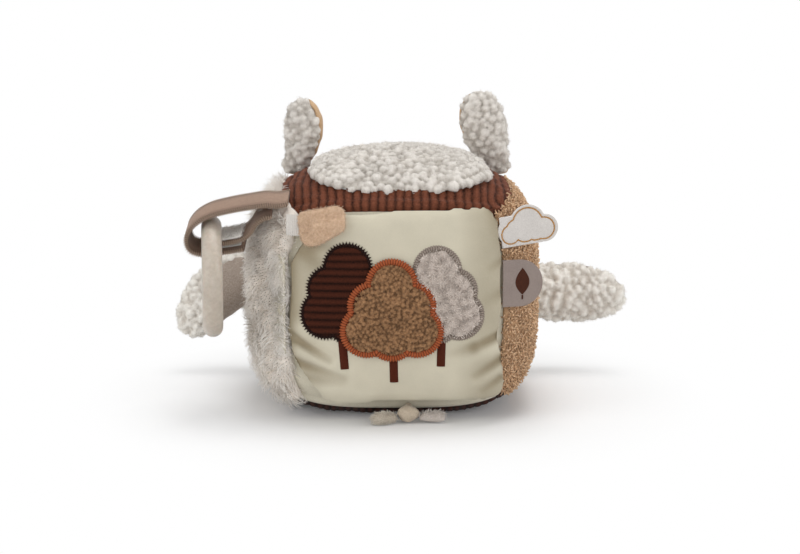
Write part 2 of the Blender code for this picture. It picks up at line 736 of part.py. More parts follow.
def cap_outline(share):
    """A soft square ring of the cap, as offsets from its middle."""
    points = []
    for k in range(CAP_SPOKES):
        turn = 2 * math.pi * k / CAP_SPOKES
        ray = Vector((math.cos(turn), math.sin(turn)))
        across = abs(ray.x / CAP_HALF_X) ** CAP_SQUARENESS + abs(ray.y / CAP_HALF_Y) ** CAP_SQUARENESS
        points.append(ray * share * across ** (-1 / CAP_SQUARENESS))
    return points


def cap_ring(share, height):
    """One ring of the cap at a height over the top panel."""
    ring = []
    lift = PILE["top"] + CLEARANCE + height
    for p in cap_outline(share):
        x = CAP_MIDDLE_X + p.x
        y = CAP_MIDDLE_Y + p.y
        across = abs(x / BLOCK_HALF_X) ** BLOCK_SQUARENESS + abs(y / BLOCK_HALF_Y) ** BLOCK_SQUARENESS
        z = BLOCK_MIDDLE.z + BLOCK_HALF_Z * (1 - across) ** (1 / BLOCK_SQUARENESS)
        ring.append(Vector((x, y, z + lift)))
    return ring


def cap_rise(share):
    """The dome's height at a share of its radius."""
    return CAP_RIM + (CAP_HEIGHT - CAP_RIM) * math.cos(share * math.pi / 2) ** 0.8


def cap(sherpa, filling):
    """The curly cap, a sewn shell that is open below, and what stuffs it."""
    wall_share = CAP_WALL / min(CAP_HALF_X, CAP_HALF_Y)
    outer = [cap_ring(share, cap_rise(share)) for share in CAP_RING_SHARES]
    foot = [cap_ring(1.0, 0.0), cap_ring(1 - wall_share, 0.0)]
    inner_shares = [share * (1 - wall_share) for share in CAP_RING_SHARES[::-1]]
    inner = [cap_ring(share, cap_rise(share) - CAP_WALL) for share in inner_shares]
    finish("cap_shell", loft(outer + foot + inner), sherpa)
    inset = 1 - wall_share - CLEARANCE / min(CAP_HALF_X, CAP_HALF_Y)
    shares = [share * inset for share in CAP_RING_SHARES]
    over = [cap_ring(share, cap_rise(share) - CAP_WALL - CLEARANCE) for share in shares]
    under = [cap_ring(share, 0.0) for share in shares[::-1]]
    finish("cap_filling", loft(over + under), filling)


def limb(name, root_shares, bend, tip, half_width, root, depths, tables, facing, fabrics):
    """A stuffed ear or arm in two halves, on a soft curve from the block, with a rounded root."""
    root_radius, root_width_share, seat_share = root
    surface = block_point(root_shares, CLEARANCE)
    normal = block_normal(surface)
    across = bend.cross(facing(0)).normalized()
    root_width = half_width * root_width_share
    axis = surface + normal * seat_share * math.hypot(root_width * abs(across.dot(normal)), root_radius)

    def run(t):
        return (bend * (1 - t) + (tip - bend) * t).normalized()

    stations = []
    for angle in (math.radians(a) for a in LIMB_ROOT_ANGLES):
        centre = axis - run(0) * root_radius * math.cos(angle)
        stations.append((centre, 0, root_width * math.sin(angle) ** 0.5, root_radius * math.sin(angle)))
    for share, wide in zip(*tables):
        centre = axis + bend * 2 * share * (1 - share) + tip * share**2
        stations.append((centre, share, half_width * wide, 0))
    hinge = pivot(name + "_turn", axis)
    arc = [math.pi * k / (LIMB_ARC_POINTS - 1) for k in range(LIMB_ARC_POINTS)]
    for part, way, depth, fabric in zip(("outer", "lining"), (1, -1), depths, fabrics):
        loops = []
        for centre, share, wide, at_root in stations:
            along = run(share)
            across = along.cross(facing(share)).normalized()
            out = across.cross(along) * way
            deep = at_root or depth * min(1.0, wide / half_width) ** 0.6
            flat = centre + out * CLEARANCE / 2
            loops.append([flat + across * wide * math.cos(a) + out * deep * math.sin(a) for a in arc])
        finish(name + "_" + part, loft(loops), fabric, hinge)


def ears(sherpa, lining):
    """The two ears, facing the front."""
    root = (EAR_ROOT_RADIUS, EAR_ROOT_WIDTH_SHARE, EAR_SEAT_SHARE)
    depths = (EAR_DEPTH_FRONT, EAR_DEPTH_BACK)
    tables = (EAR_STATION_SHARES, EAR_WIDTH_SHARES)
    for name, way, bend, tip, wide in (
        ("ear_left", -1, EAR_LEFT_BEND, EAR_LEFT_TIP, EAR_LEFT_HALF_WIDTH),
        ("ear_right", 1, EAR_RIGHT_BEND, EAR_RIGHT_TIP, EAR_RIGHT_HALF_WIDTH),
    ):
        shares = (way * EAR_ROOT_SHARES[0], EAR_ROOT_SHARES[1], EAR_ROOT_SHARES[2])
        limb(name, shares, bend, tip, wide, root, depths, tables, facing_front, (sherpa, lining))


def arms(sherpa, lining):
    """The two arms; the left one is twisted at its root."""
    root = (ARM_ROOT_RADIUS, ARM_ROOT_WIDTH_SHARE, ARM_SEAT_SHARE)
    depths = (ARM_DEPTH_FRONT, ARM_DEPTH_BACK)
    tables = (ARM_STATION_SHARES, ARM_WIDTH_SHARES)
    for name, way, bend, tip, facing in (
        ("arm_left", -1, ARM_LEFT_BEND, ARM_LEFT_TIP, facing_twisted),
        ("arm_right", 1, ARM_RIGHT_BEND, ARM_RIGHT_TIP, facing_front),
    ):
        shares = (way * ARM_ROOT_SHARES[0], ARM_ROOT_SHARES[1], ARM_ROOT_SHARES[2])
        limb(name, shares, bend, tip, ARM_HALF_WIDTH, root, depths, tables, facing, (sherpa, lining))


def facing_front(share):
    """A limb that faces the front all along."""
    return Vector((0, -1, 0))


def facing_twisted(share):
    """A limb that is twisted at its root and faces the front at its tip."""
    turn = ARM_LEFT_TWIST * (1 - share)
    return Vector((-math.sin(turn), -math.cos(turn), 0))


def smooth_path(points, steps):
    """A soft curve through 2D points."""
    path = []
    for i in range(len(points) - 1):
        before = points[max(i - 1, 0)]
        start = points[i]
        end = points[i + 1]
        after = points[min(i + 2, len(points) - 1)]
        slope = end - before
        bend = 2 * before - 5 * start + 4 * end - after
        twist = 3 * start - before - 3 * end + after
        for k in range(steps):
            t = k / steps
            path.append((2 * start + slope * t + bend * t**2 + twist * t**3) / 2)
    path.append(points[-1])
    return path


def strap_point(x, z, across, off):
    """A point of the strap's section: across its width, and off its middle line in X and Z."""
    width = Vector((0, math.cos(STRAP_TILT), math.sin(STRAP_TILT)))
    return Vector((x + off.x, STRAP_MIDDLE_Y, z + off.y)) + width * across


def band(path, width, thickness, offset=0.0):
    """A flat band along a path in X and Z, with rounded edges, moved off the path by an offset."""
    loops = []
    for i, here in enumerate(path):
        run = (path[min(i + 1, len(path) - 1)] - path[max(i - 1, 0)]).normalized()
        out = Vector((run.y, -run.x))
        half = width / 2
        shoulder = half - thickness / 2
        sides = ((-shoulder, 1), (-half, 0), (-shoulder, -1), (shoulder, -1), (half, 0), (shoulder, 1))
        loops.append([strap_point(here.x, here.y, a, out * (offset + n * thickness / 2)) for a, n in sides])
    return loft(loops)


def strap_path(shares):
    """A strap's middle line from its table."""
    points = [Vector((STRAP_ROOT_X - x * STRAP_REACH, STRAP_ROOT_Z - z * STRAP_FALL)) for x, z in shares]
    return smooth_path(points, STRAP_STEPS)


def patch_path(path):
    """The stretch of a band's path that carries its half of the fastener."""
    start = STRAP_ROOT_X - PATCH_START_SHARE * STRAP_REACH
    below = STRAP_ROOT_Z - STRAP_FALL / 2
    return [p for p in path if start - PATCH_LENGTH < p.x < start and p.y < below]


def strap(velour, hooks, loops):
    """The long band, the short band and the two halves of the fastener between them."""
    root = pivot("strap_swing", Vector((STRAP_ROOT_X, STRAP_MIDDLE_Y, STRAP_ROOT_Z)))
    off = STRAP_THICKNESS / 2 + CLEARANCE + PATCH_THICKNESS / 2
    for band_name, shares, patch_name, cloth in (
        ("strap_long", STRAP_LONG_SHARES, "hook_patch", hooks),
        ("strap_short", STRAP_SHORT_SHARES, "loop_patch", loops),
    ):
        path = strap_path(shares)
        finish(band_name, band(path, STRAP_WIDTH, STRAP_THICKNESS), velour, root)
        width = STRAP_WIDTH - 2 * PATCH_MARGIN
        finish(patch_name, band(patch_path(path), width, PATCH_THICKNESS, -off), cloth, root)
    return root


def ring(strap_root, plastic):
    """The teething ring, hung on the lower run of the long band."""
    low = [p for p in strap_path(STRAP_LONG_SHARES) if p.y < STRAP_ROOT_Z - STRAP_FALL / 2]
    seat = min(low, key=lambda p: abs(p.x - RING_X))
    hole = RING_CENTRE_RADIUS - RING_TUBE_RADIUS
    drop = math.sqrt((hole - CLEARANCE) ** 2 - (STRAP_WIDTH / 2) ** 2) - STRAP_THICKNESS / 2
    down = Vector((0, math.sin(STRAP_TILT), -math.cos(STRAP_TILT)))
    centre = Vector((RING_X, STRAP_MIDDLE_Y, seat.y)) + down * drop
    hang = pivot("ring_swing", centre + Vector((0, 0, RING_CENTRE_RADIUS)), strap_root)
    aside = Vector((1, 0, 0))
    loops = []
    for k in range(RING_SPOKES):
        turn = 2 * math.pi * k / RING_SPOKES
        out = Vector((0, math.cos(turn), math.sin(turn)))
        middle = centre + out * RING_CENTRE_RADIUS
        loops.append([middle + side * RING_TUBE_RADIUS for side in circle(out, aside, RING_SIDES)])
    finish("ring", loft(loops, closed=True), plastic, hang)


def circle(first, second, count):
    """Points round a unit circle that two directions span."""
    turns = [2 * math.pi * k / count for k in range(count)]
    return [first * math.cos(t) + second * math.sin(t) for t in turns]


def tag(ribbon, tuft, plush):
    """The knotted ribbon: a stem out of the front bottom seam, a knot and two ends on the floor."""
    seam = block_point((0, -1, -1), CLEARANCE + TAG_STEM_RADIUS)
    seam.x = TAG_X
    turn = pivot("tag_swing", seam)
    half = TAG_KNOT_HALF
    knot = Vector((TAG_X, seam.y - half.y, TAG_FLOOR_GAP + half.z))
    run = (knot - seam).normalized()
    reach = 1 / math.hypot(run.y / half.y, run.z / half.z)
    aside = Vector((1, 0, 0))
    end = knot - run * (reach + CLEARANCE)
    loops = []
    for angle in (math.radians(a) for a in LIMB_ROOT_ANGLES):
        centre = seam - run * TAG_STEM_RADIUS * math.cos(angle)
        loops.append((centre, TAG_STEM_RADIUS * math.sin(angle)))
    loops.append((end, TAG_STEM_RADIUS))
    around = circle(aside, run.cross(aside), TAG_SIDES)
    finish("tag_stem", loft([[p + c * radius for c in around] for p, radius in loops]), ribbon, turn)

    loops = []
    for k in range(1, TAG_KNOT_RINGS):
        angle = math.pi * k / TAG_KNOT_RINGS
        size = 1 - TAG_KNOT_PINCH * math.cos(2 * angle) if k in (1, TAG_KNOT_RINGS - 1) else 1
        centre = knot - aside * half.x * math.cos(angle)
        wide = Vector((0, half.y, 0)) * math.sin(angle) * size
        high = Vector((0, 0, half.z)) * math.sin(angle) * size
        loops.append([centre + c for c in circle(wide, high, TAG_SIDES)])
    finish("tag_knot", loft(loops), ribbon, turn)

    for name, way, fabric in (("left", -1, tuft), ("right", 1, plush)):
        run = Vector((way, TAG_END_SLANTS[name], 0)).normalized()
        side = Vector((-run.y, run.x, 0))
        knot_end = knot + aside * way * half.x * math.cos(math.pi / TAG_KNOT_RINGS)
        begin = knot_end + run * (CLEARANCE + TAG_END_ROOT * TAG_ROOT_SHARE * abs(run.y))
        loops = []
        for share, wide_share in TAG_END_SHARES:
            radius = TAG_END_ROOT + (TAG_END_WIDE - TAG_END_ROOT) * wide_share
            centre = begin + run * share * TAG_END_LENGTH
            centre.z = TAG_FLOOR_GAP + radius * TAG_END_FLATNESS
            wide = side * radius * wide_share
            high = Vector((0, 0, radius * wide_share * TAG_END_FLATNESS))
            loops.append([centre + c for c in circle(wide, high, TAG_SIDES)])
        finish("tag_end_" + name, loft(loops), fabric, turn)


def block(fill):
    """The six sewn panels and the rattle in their filling. It returns the panels' materials."""
    fabrics = {
        "front": material("cream velour", 230, 226, 208, 0.9),
        "left": material("grey plush", 213, 208, 202, 0.95),
        "right": material("caramel teddy", 176, 138, 102, 0.95),
        "top": material("red-brown corduroy", 122, 75, 60, 0.9),
        "bottom": material("dark brown corduroy", 74, 38, 27, 0.9),
    }
    fabrics["back"] = fabrics["front"]
    for side, fabric in fabrics.items():
        panel(side, fabric)
    rattle(fill, material("white plastic", 232, 232, 228, 0.45), material("steel ball", 150, 152, 156, 0.3))
    return fabrics


def page(fabrics):
    """The page with everything that is sewn to it."""
    fold = flap_surface(-FLAP_HALF_WIDTH, BLOCK_MIDDLE.z, FACE_HIGH)
    hinge = pivot("flap_open", Vector((-FLAP_HALF_WIDTH - CLEARANCE, fold.y, FLAP_HEIGHT)))
    cream = fabrics["front"]
    flap(cream, material("clear film", 235, 238, 240, 0.3), hinge)
    spine(cream)
    tab(material("peach velour", 217, 184, 153, 0.9), material("ribbed ribbon", 217, 213, 210, 0.7), hinge)
    crowns = {
        "left": fabrics["bottom"],
        "middle": fabrics["right"],
        "right": material("beige plush", 211, 202, 194, 0.95),
    }
    threads = {
        "left": material("brown thread", 74, 38, 27, 0.6),
        "middle": material("rust thread", 168, 85, 47, 0.55),
        "right": material("grey thread", 138, 128, 120, 0.6),
    }
    trees(hinge, crowns, threads, material("trunk thread", 90, 42, 24, 0.6))
    tan = material("tan thread", 199, 154, 100, 0.6)
    cloud_label(hinge, material("white leather cloth", 224, 222, 220, 0.6), tan)
    leaf_label(hinge, material("taupe cloth", 143, 128, 120, 0.8), material("brown print", 74, 36, 22, 0.8))


def main():
    for old in list(bpy.data.objects):
        bpy.data.objects.remove(old)
    fill = material("polyester fill", 240, 240, 238, 1.0)
    fabrics = block(fill)
    page(fabrics)
    sherpa = material("curly sherpa", 222, 218, 212, 1.0)
    cap(sherpa, fill)
    ears(sherpa, material("beige velour", 207, 174, 140, 0.9))
    arms(sherpa, material("taupe plush", 163, 149, 138, 0.9))
    velour = material("taupe velour", 160, 135, 117, 0.9)
    hooks = material("hook tape", 236, 234, 230, 0.7)
    root = strap(velour, hooks, material("loop tape", 230, 228, 224, 0.9))
    ring(root, material("warm grey silicone", 207, 197, 184, 0.45))
    ribbon = material("beige ribbon", 205, 190, 172, 0.8)
    cloth = material("beige cloth", 200, 184, 162, 0.9)
    tag(ribbon, cloth, material("grey mauve cloth", 182, 170, 164, 0.9))


main()
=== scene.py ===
import json
import math

import bpy
import numpy as np
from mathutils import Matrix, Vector
from mathutils.bvhtree import BVHTree
from mathutils.kdtree import KDTree


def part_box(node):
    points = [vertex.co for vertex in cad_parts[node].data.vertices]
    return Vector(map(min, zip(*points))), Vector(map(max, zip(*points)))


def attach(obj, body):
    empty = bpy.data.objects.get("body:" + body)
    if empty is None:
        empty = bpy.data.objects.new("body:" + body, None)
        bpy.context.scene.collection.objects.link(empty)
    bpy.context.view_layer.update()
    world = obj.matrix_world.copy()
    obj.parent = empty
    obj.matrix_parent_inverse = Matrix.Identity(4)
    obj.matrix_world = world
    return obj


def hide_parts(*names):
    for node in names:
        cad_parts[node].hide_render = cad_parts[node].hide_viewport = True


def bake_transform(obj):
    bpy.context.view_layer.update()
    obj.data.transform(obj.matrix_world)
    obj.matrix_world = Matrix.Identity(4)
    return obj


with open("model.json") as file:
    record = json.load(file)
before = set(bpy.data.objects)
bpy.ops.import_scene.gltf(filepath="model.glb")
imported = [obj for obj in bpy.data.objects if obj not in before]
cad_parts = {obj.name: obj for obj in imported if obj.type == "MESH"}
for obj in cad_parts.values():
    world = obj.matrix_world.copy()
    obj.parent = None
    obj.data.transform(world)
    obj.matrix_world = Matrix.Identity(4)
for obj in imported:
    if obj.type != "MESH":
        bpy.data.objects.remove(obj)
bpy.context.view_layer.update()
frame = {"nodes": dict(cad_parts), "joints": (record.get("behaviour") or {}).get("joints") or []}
scene = bpy.context.scene
joints = {joint["name"]: Vector(joint["pos_m"]) for joint in frame["joints"]}
MM = 0.001


# Filling and rattle.
# A block of loose polyester fibre holds a turned ABS case with a steel ball, which rattles when the block is shaken.
# The case and the ball are the CAD's own; the fibre is a copy of its block.
def colour(code):
    """An sRGB hex colour as the linear one that a shader takes."""
    parts = [int(code[i:i + 2], 16) / 255 for i in (1, 3, 5)]
    return (*[c / 12.92 if c <= 0.04045 else ((c + 0.055) / 1.055) ** 2.4 for c in parts], 1)


def add(tree, kind, inputs=None, **settings):
    """Add a node; inputs are values, or the sockets that feed it."""
    node = tree.nodes.new(kind)
    for name, value in settings.items():
        setattr(node, name, value)
    for name, value in (inputs or {}).items():
        if isinstance(value, bpy.types.NodeSocket):
            tree.links.new(value, node.inputs[name])
        else:
            node.inputs[name].default_value = value
    return node


def finish_of(
    name, deep, pale, grain, relief, roughness, sheen=0.0, spread=12, toned=True, stretch=(1, 1, 1), fleck=0.3,
    gloss=0.15, others=None
):
    """A finish that is deep in its hollows and pale on its hairs: grain, relief and spread are in mm.

    A toned one paints shade into its hollows by how far each point stands out; fleck is the grain's share of that.
    """
    made = bpy.data.materials.new(name)
    made.use_nodes = True
    tree = made.node_tree
    shader = tree.nodes["Principled BSDF"]
    place = add(tree, "ShaderNodeTexCoord").outputs["Object"]
    drawn = add(tree, "ShaderNodeMapping", {"Vector": place, "Scale": stretch}).outputs[0]
    size = 1 / (grain * MM)
    hairs = add(tree, "ShaderNodeTexNoise", {"Vector": drawn, "Scale": size, "Detail": 4, "Roughness": 0.65}).outputs[0]
    dye = add(tree, "ShaderNodeTexNoise", {"Vector": place, "Scale": 1 / (spread * MM), "Detail": 3}).outputs[0]
    speck = add(tree, "ShaderNodeMapRange", {"Value": hairs, "From Min": 0.3, "From Max": 0.7}).outputs[0]
    if toned:
        tone = add(tree, "ShaderNodeAttribute", attribute_name="tone").outputs["Fac"]
        share = add(tree, "ShaderNodeMath", {0: speck, 1: fleck}, operation="MULTIPLY").outputs[0]
        sums = {0: tone, 1: 1.05 - fleck, 2: share}
        speck = add(tree, "ShaderNodeMath", sums, operation="MULTIPLY_ADD", use_clamp=True).outputs[0]
    mixed = add(tree, "ShaderNodeMix", {"Factor": speck, 6: colour(deep), 7: colour(pale)}, data_type="RGBA").outputs[2]
    value = add(tree, "ShaderNodeMapRange", {"Value": dye, "To Min": 0.88, "To Max": 1.12}).outputs[0]
    dyed = add(tree, "ShaderNodeHueSaturation", {"Color": mixed, "Value": value}).outputs[0]
    bump = add(tree, "ShaderNodeBump", {"Height": hairs, "Strength": 0.7, "Distance": relief * MM}).outputs[0]
    tree.links.new(dyed, shader.inputs["Base Color"])
    tree.links.new(bump, shader.inputs["Normal"])
    sockets = {"Roughness": roughness, "Specular IOR Level": gloss, "Sheen Weight": sheen, "Sheen Roughness": 0.4}
    for socket, number in {**sockets, **(others or {})}.items():
        shader.inputs[socket].default_value = number
    return made


def only(piece):
    """Select one piece alone."""
    bpy.ops.object.select_all(action="DESELECT")
    piece.select_set(True)
    bpy.context.view_layer.objects.active = piece


def change(piece, kind, **settings):
    """Give a piece a modifier and apply it."""
    only(piece)
    step = piece.modifiers.new(kind.lower(), kind)
    for name, value in settings.items():
        setattr(step, name, value)
    bpy.ops.object.modifier_apply(modifier=step.name)


def points_of(piece, what="co"):
    """A piece's points as an array."""
    flat = np.empty(len(piece.data.vertices) * 3, np.float32)
    piece.data.vertices.foreach_get(what, flat)
    return flat.reshape(-1, 3).astype(float)


def normals_of(piece):
    """The directions that a piece's points face."""
    return points_of(piece, "normal")


def move_points(piece, points):
    """Put a piece's points where an array says."""
    piece.data.vertices.foreach_set("co", np.asarray(points, np.float32).ravel())
    piece.data.update()


def give_tone(piece, tone):
    """Store how far each point stands out of its hollow, from 0 to 1."""
    made = piece.data.attributes.get("tone") or piece.data.attributes.new("tone", "FLOAT", "POINT")
    made.data.foreach_set("value", np.asarray(tone, np.float32))


def made_of(name, points, faces, tone=None):
    """A piece from its points and faces, smooth shaded."""
    mesh = bpy.data.meshes.new(name)
    mesh.from_pydata(np.asarray(points).tolist(), [], [list(face) for face in faces])
    mesh.update()
    mesh.shade_smooth()
    piece = bpy.data.objects.new(name, mesh)
    scene.collection.objects.link(piece)
    if tone is not None:
        give_tone(piece, tone)
    return piece


def dress(piece, finish, slot, nodes=(), body=None):
    """Give a piece its finish, hide the CAD nodes that it stands for, and hang it on the body that it rides on."""
    piece.data.materials.clear()
    piece.data.materials.append(finish)
    if nodes:
        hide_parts(*nodes)
    if body:
        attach(piece, body)


def copy_of(name, *nodes):
    """A copy of CAD nodes with their loose triangles joined up."""
    points, faces = [], []
    for node in nodes:
        mesh = frame["nodes"][node].data
        start = len(points)
        points += [vertex.co[:] for vertex in mesh.vertices]
        faces += [[start + i for i in face.vertices] for face in mesh.polygons]
    piece = made_of(name, points, faces)
    change(piece, "WELD", merge_threshold=0.01 * MM)
    return piece


# loose polyester fibre: white and matt, with fine hairs
fibre = finish_of("loose polyester fibre", "#c9c8c4", "#f4f3ef", 1.5, 1.2, 1.0, 0.2, toned=False)
fill = copy_of("fibre_fill", "stuffing")
change(fill, "SUBSURF", levels=1, render_levels=1, subdivision_type="SIMPLE")
dress(fill, fibre, "fill", ["stuffing"], "block")

# moulded ABS: even and a little glossy, with a fine spark-eroded grain
case_plastic = finish_of("moulded ABS", "#dedfda", "#eceae6", 0.5, 0.02, 0.4, toned=False, gloss=0.5)
# ground steel ball: bright, with fine polishing marks
steel = finish_of(
    "ground steel", "#a7a9ac", "#b9bbbe", 0.3, 0.004, 0.25, toned=False, gloss=0.5, others={"Metallic": 1}
)
for node, finish in (("rattle_case_front", case_plastic), ("rattle_case_back", case_plastic), ("rattle_ball", steel)):
    finishes = frame["nodes"][node].data.materials
    finishes.clear()
    finishes.append(finish)


# Block cover: velour front and back, corduroy top and bottom.
# Six cut panels are sewn right sides together and turned, so each is plump in the middle and pulls in at its seams;
# the thick cloths spread over the front seams, behind the page's edges.
HALF = np.array((78.5, 72, 68.5)) * MM
SQUARENESS = 3.6
MIDDLE = np.array((0, 0, 66.5)) * MM
FLOOR_GAP = 0.6 * MM
SIDES = {
    "front": ((0, -1, 0), (1, 0, 0), (0, 0, 1)),
    "back": ((0, 1, 0), (-1, 0, 0), (0, 0, 1)),
    "left": ((-1, 0, 0), (0, -1, 0), (0, 0, 1)),
    "right": ((1, 0, 0), (0, 1, 0), (0, 0, 1)),
    "top": ((0, 0, 1), (1, 0, 0), (0, 1, 0)),
    "bottom": ((0, 0, -1), (1, 0, 0), (0, -1, 0)),
}
CLOTH = 1.0 * MM
# what reaches over a seam lies this much higher, on the next side's cloth; it rises over a share of half a side
SEAM_LIFT, SEAM_START, SEAM_RUN = 1.6 * MM, 0.97, 0.08


def block_skin(side, u, v, lift):
    """Places on one side of the block, moved out by a lift and kept off the floor."""
    out, right, up = (np.array(d, float) for d in SIDES[side])
    aim = (out + np.outer(u, right) + np.outer(v, up)) * HALF
    aim /= np.linalg.norm(aim, axis=1, keepdims=True)
    reach = (np.abs(aim / HALF) ** SQUARENESS).sum(1) ** (-1 / SQUARENESS)
    places = MIDDLE + aim * (reach + lift)[:, None]
    places[:, 2] = np.maximum(places[:, 2], FLOOR_GAP)
    return places


def grid(name, across, up):
    """A flat grid from -1 to 1, which a cloth is shaped from."""
    bpy.ops.object.select_all(action="DESELECT")
    bpy.ops.mesh.primitive_grid_add(x_subdivisions=across, y_subdivisions=up, size=2)
    piece = bpy.context.active_object
    piece.name = piece.data.name = name
    return piece


def panel(name, side, across, up, plump, us=(-1, 1), vs=(-1, 1), relief=None):
    """One sewn side, from a flat grid; relief gives the cloth's ribs and their tone."""
    piece = grid(name, across, up)
    flat = points_of(piece)
    u = us[0] + (us[1] - us[0]) * (flat[:, 0] + 1) / 2
    v = vs[0] + (vs[1] - vs[0]) * (flat[:, 1] + 1) / 2
    full = np.sqrt(np.clip((1 - u**4) * (1 - v**4), 0, 1)) * (np.abs(u) < 1) * (np.abs(v) < 1)
    over = SEAM_LIFT * np.clip((np.maximum(np.abs(u), np.abs(v)) - SEAM_START) / SEAM_RUN, 0, 1)
    lift = plump * MM * full + over
    tone = np.ones(len(u))
    if relief:
        rise, tone = relief(u, v)
        lift = lift + rise
    move_points(piece, block_skin(side, u, v, lift))
    give_tone(piece, tone)
    piece.data.shade_smooth()
    change(piece, "SOLIDIFY", thickness=CLOTH, offset=-1)
    return piece


def uneven(u, v, size, seed):
    """A smooth uneven height from -1 to 1, from seven crossed waves about size long."""
    dice = np.random.default_rng(seed)
    total = np.zeros(len(u))
    for _ in range(7):
        turn, phase = dice.uniform(0, 2 * math.pi, 2)
        along = u * math.cos(turn) + v * math.sin(turn)
        total += np.sin(along * dice.uniform(0.6, 1.6) * 2 * math.pi / size + phase)
    return total / 3.5


# short-pile polyester velour: matt and even, with a soft bloom where it turns away
cream_velour = finish_of("short-pile cream velour", "#c9c2ae", "#dcd6c4", 0.5, 0.07, 0.95, 0.25, 18, toned=False)
FRONT_TUCK, FRONT_TUCK_START = 1.8 * MM, 0.84


def tucked(u, v):
    """The front's top edge goes in under the corduroy at their seam."""
    return -FRONT_TUCK * np.clip((v - FRONT_TUCK_START) / SEAM_RUN, 0, 1), np.ones(len(u))


front = panel("panel_cloth_front", "front", 48, 96, 0.3, us=(-0.97, 0.97), vs=(-1.1, 0.97), relief=tucked)
dress(front, cream_velour, "cream_velour", ["panel_front"], "block")


def slack(u, v):
    """The shallow unevenness of the stuffed back, which dies out at its seams."""
    return uneven(u, v, 1.1, 4) * 0.7 * MM * (1 - u**6) * (1 - v**6), np.ones(len(u))


back = panel("panel_cloth_back", "back", 64, 64, 0.8, relief=slack)
dress(back, cream_velour, "cream_velour", ["panel_back"], "block")

# cotton corduroy, 4.6 mm from wale to wale on the top and 4 mm below: cut pile stands in rounded ribs with narrow
# grooves, which wander a little; shade is painted dark in the grooves
WALE, WALE_HEIGHT = 4.6 * MM, 0.9 * MM
LOW_WALE, LOW_WALE_HEIGHT = 4 * MM, 0.8 * MM
WANDER, SHIVER = 0.35 * MM, 0.15 * MM
TUFT_HEIGHT, SAG_HEIGHT = 0.22 * MM, 0.5 * MM
# the tuck at the top's right front corner, where the ribs turn level
TUCK_START, TUCK_RUN, TUCK_HEIGHT = 47 * MM, 13 * MM, 118 * MM
TUCK_FRONT, TUCK_DEPTH, TUCK_TURN = 44 * MM, 12 * MM, math.radians(72)
# behind the page the ribs are sewn flat to this height, and the seam allowance drops under the front's cloth
SEWN_START, SEWN_SHARE, SEWN_HEIGHT = 1.06, 0.9, 0.4 * MM
ALLOWANCE_START, ALLOWANCE_DROP = 1.15, 2.6 * MM


def wales(u, v, side="top", pitch=WALE, height=WALE_HEIGHT, seed=2):
    """The upright ribs of corduroy, and their tone, which paints shade in the grooves."""
    x, y, z = block_skin(side, u, v, 0).T
    on_top = side == "top"
    tuck = np.clip((x - TUCK_START) / TUCK_RUN, 0, 1) * np.clip((-y - TUCK_FRONT) / TUCK_DEPTH, 0, 1) * on_top
    turn = tuck * TUCK_TURN
    along = TUCK_START + (x - TUCK_START) * np.cos(turn) + (z - TUCK_HEIGHT) * np.sin(turn)
    along += uneven(u, v, 0.9, seed) * WANDER + uneven(u, v, 0.16, seed + 3) * SHIVER
    rib = np.abs(np.sin(math.pi * along / pitch)) ** 0.5
    rise = rib * height + uneven(u, v, 0.035, seed + 1) * TUFT_HEIGHT + uneven(u, v, 0.3, seed + 5) * SAG_HEIGHT
    flat = SEWN_SHARE * np.clip((-v - SEWN_START) / SEAM_RUN, 0, 1) * on_top
    rise = rise * (1 - flat) + SEWN_HEIGHT * flat
    rise -= ALLOWANCE_DROP * np.clip((-v - ALLOWANCE_START) / SEAM_RUN, 0, 1) * on_top
    return rise, np.clip(rib * 1.9 - 0.9, 0, 1)


def low_wales(u, v):
    """The underside's finer ribs."""
    return wales(u, v, "bottom", LOW_WALE, LOW_WALE_HEIGHT, 9)


red_corduroy = finish_of(
    "red-brown cotton corduroy", "#190a05", "#7e4a36", 0.9, 0.5, 0.98, 0.05, stretch=(1, 0.6, 1), fleck=0.5
)
top = panel("panel_cloth_top", "top", 300, 140, 0.6, vs=(-1.32, 1), relief=wales)
dress(top, red_corduroy, "red_brown_corduroy", ["panel_top"], "block")
# the same corduroy in a darker dye, with shade painted almost black in its grooves
dark_corduroy = finish_of("dark brown cotton corduroy", "#120805", "#492519", 0.5, 0.25, 0.98, 0.05)
bottom = panel("panel_cloth_bottom", "bottom", 200, 60, 0.4, vs=(-1, 0.9), relief=low_wales)
dress(bottom, dark_corduroy, "dark_brown_corduroy", ["panel_bottom"], "block")


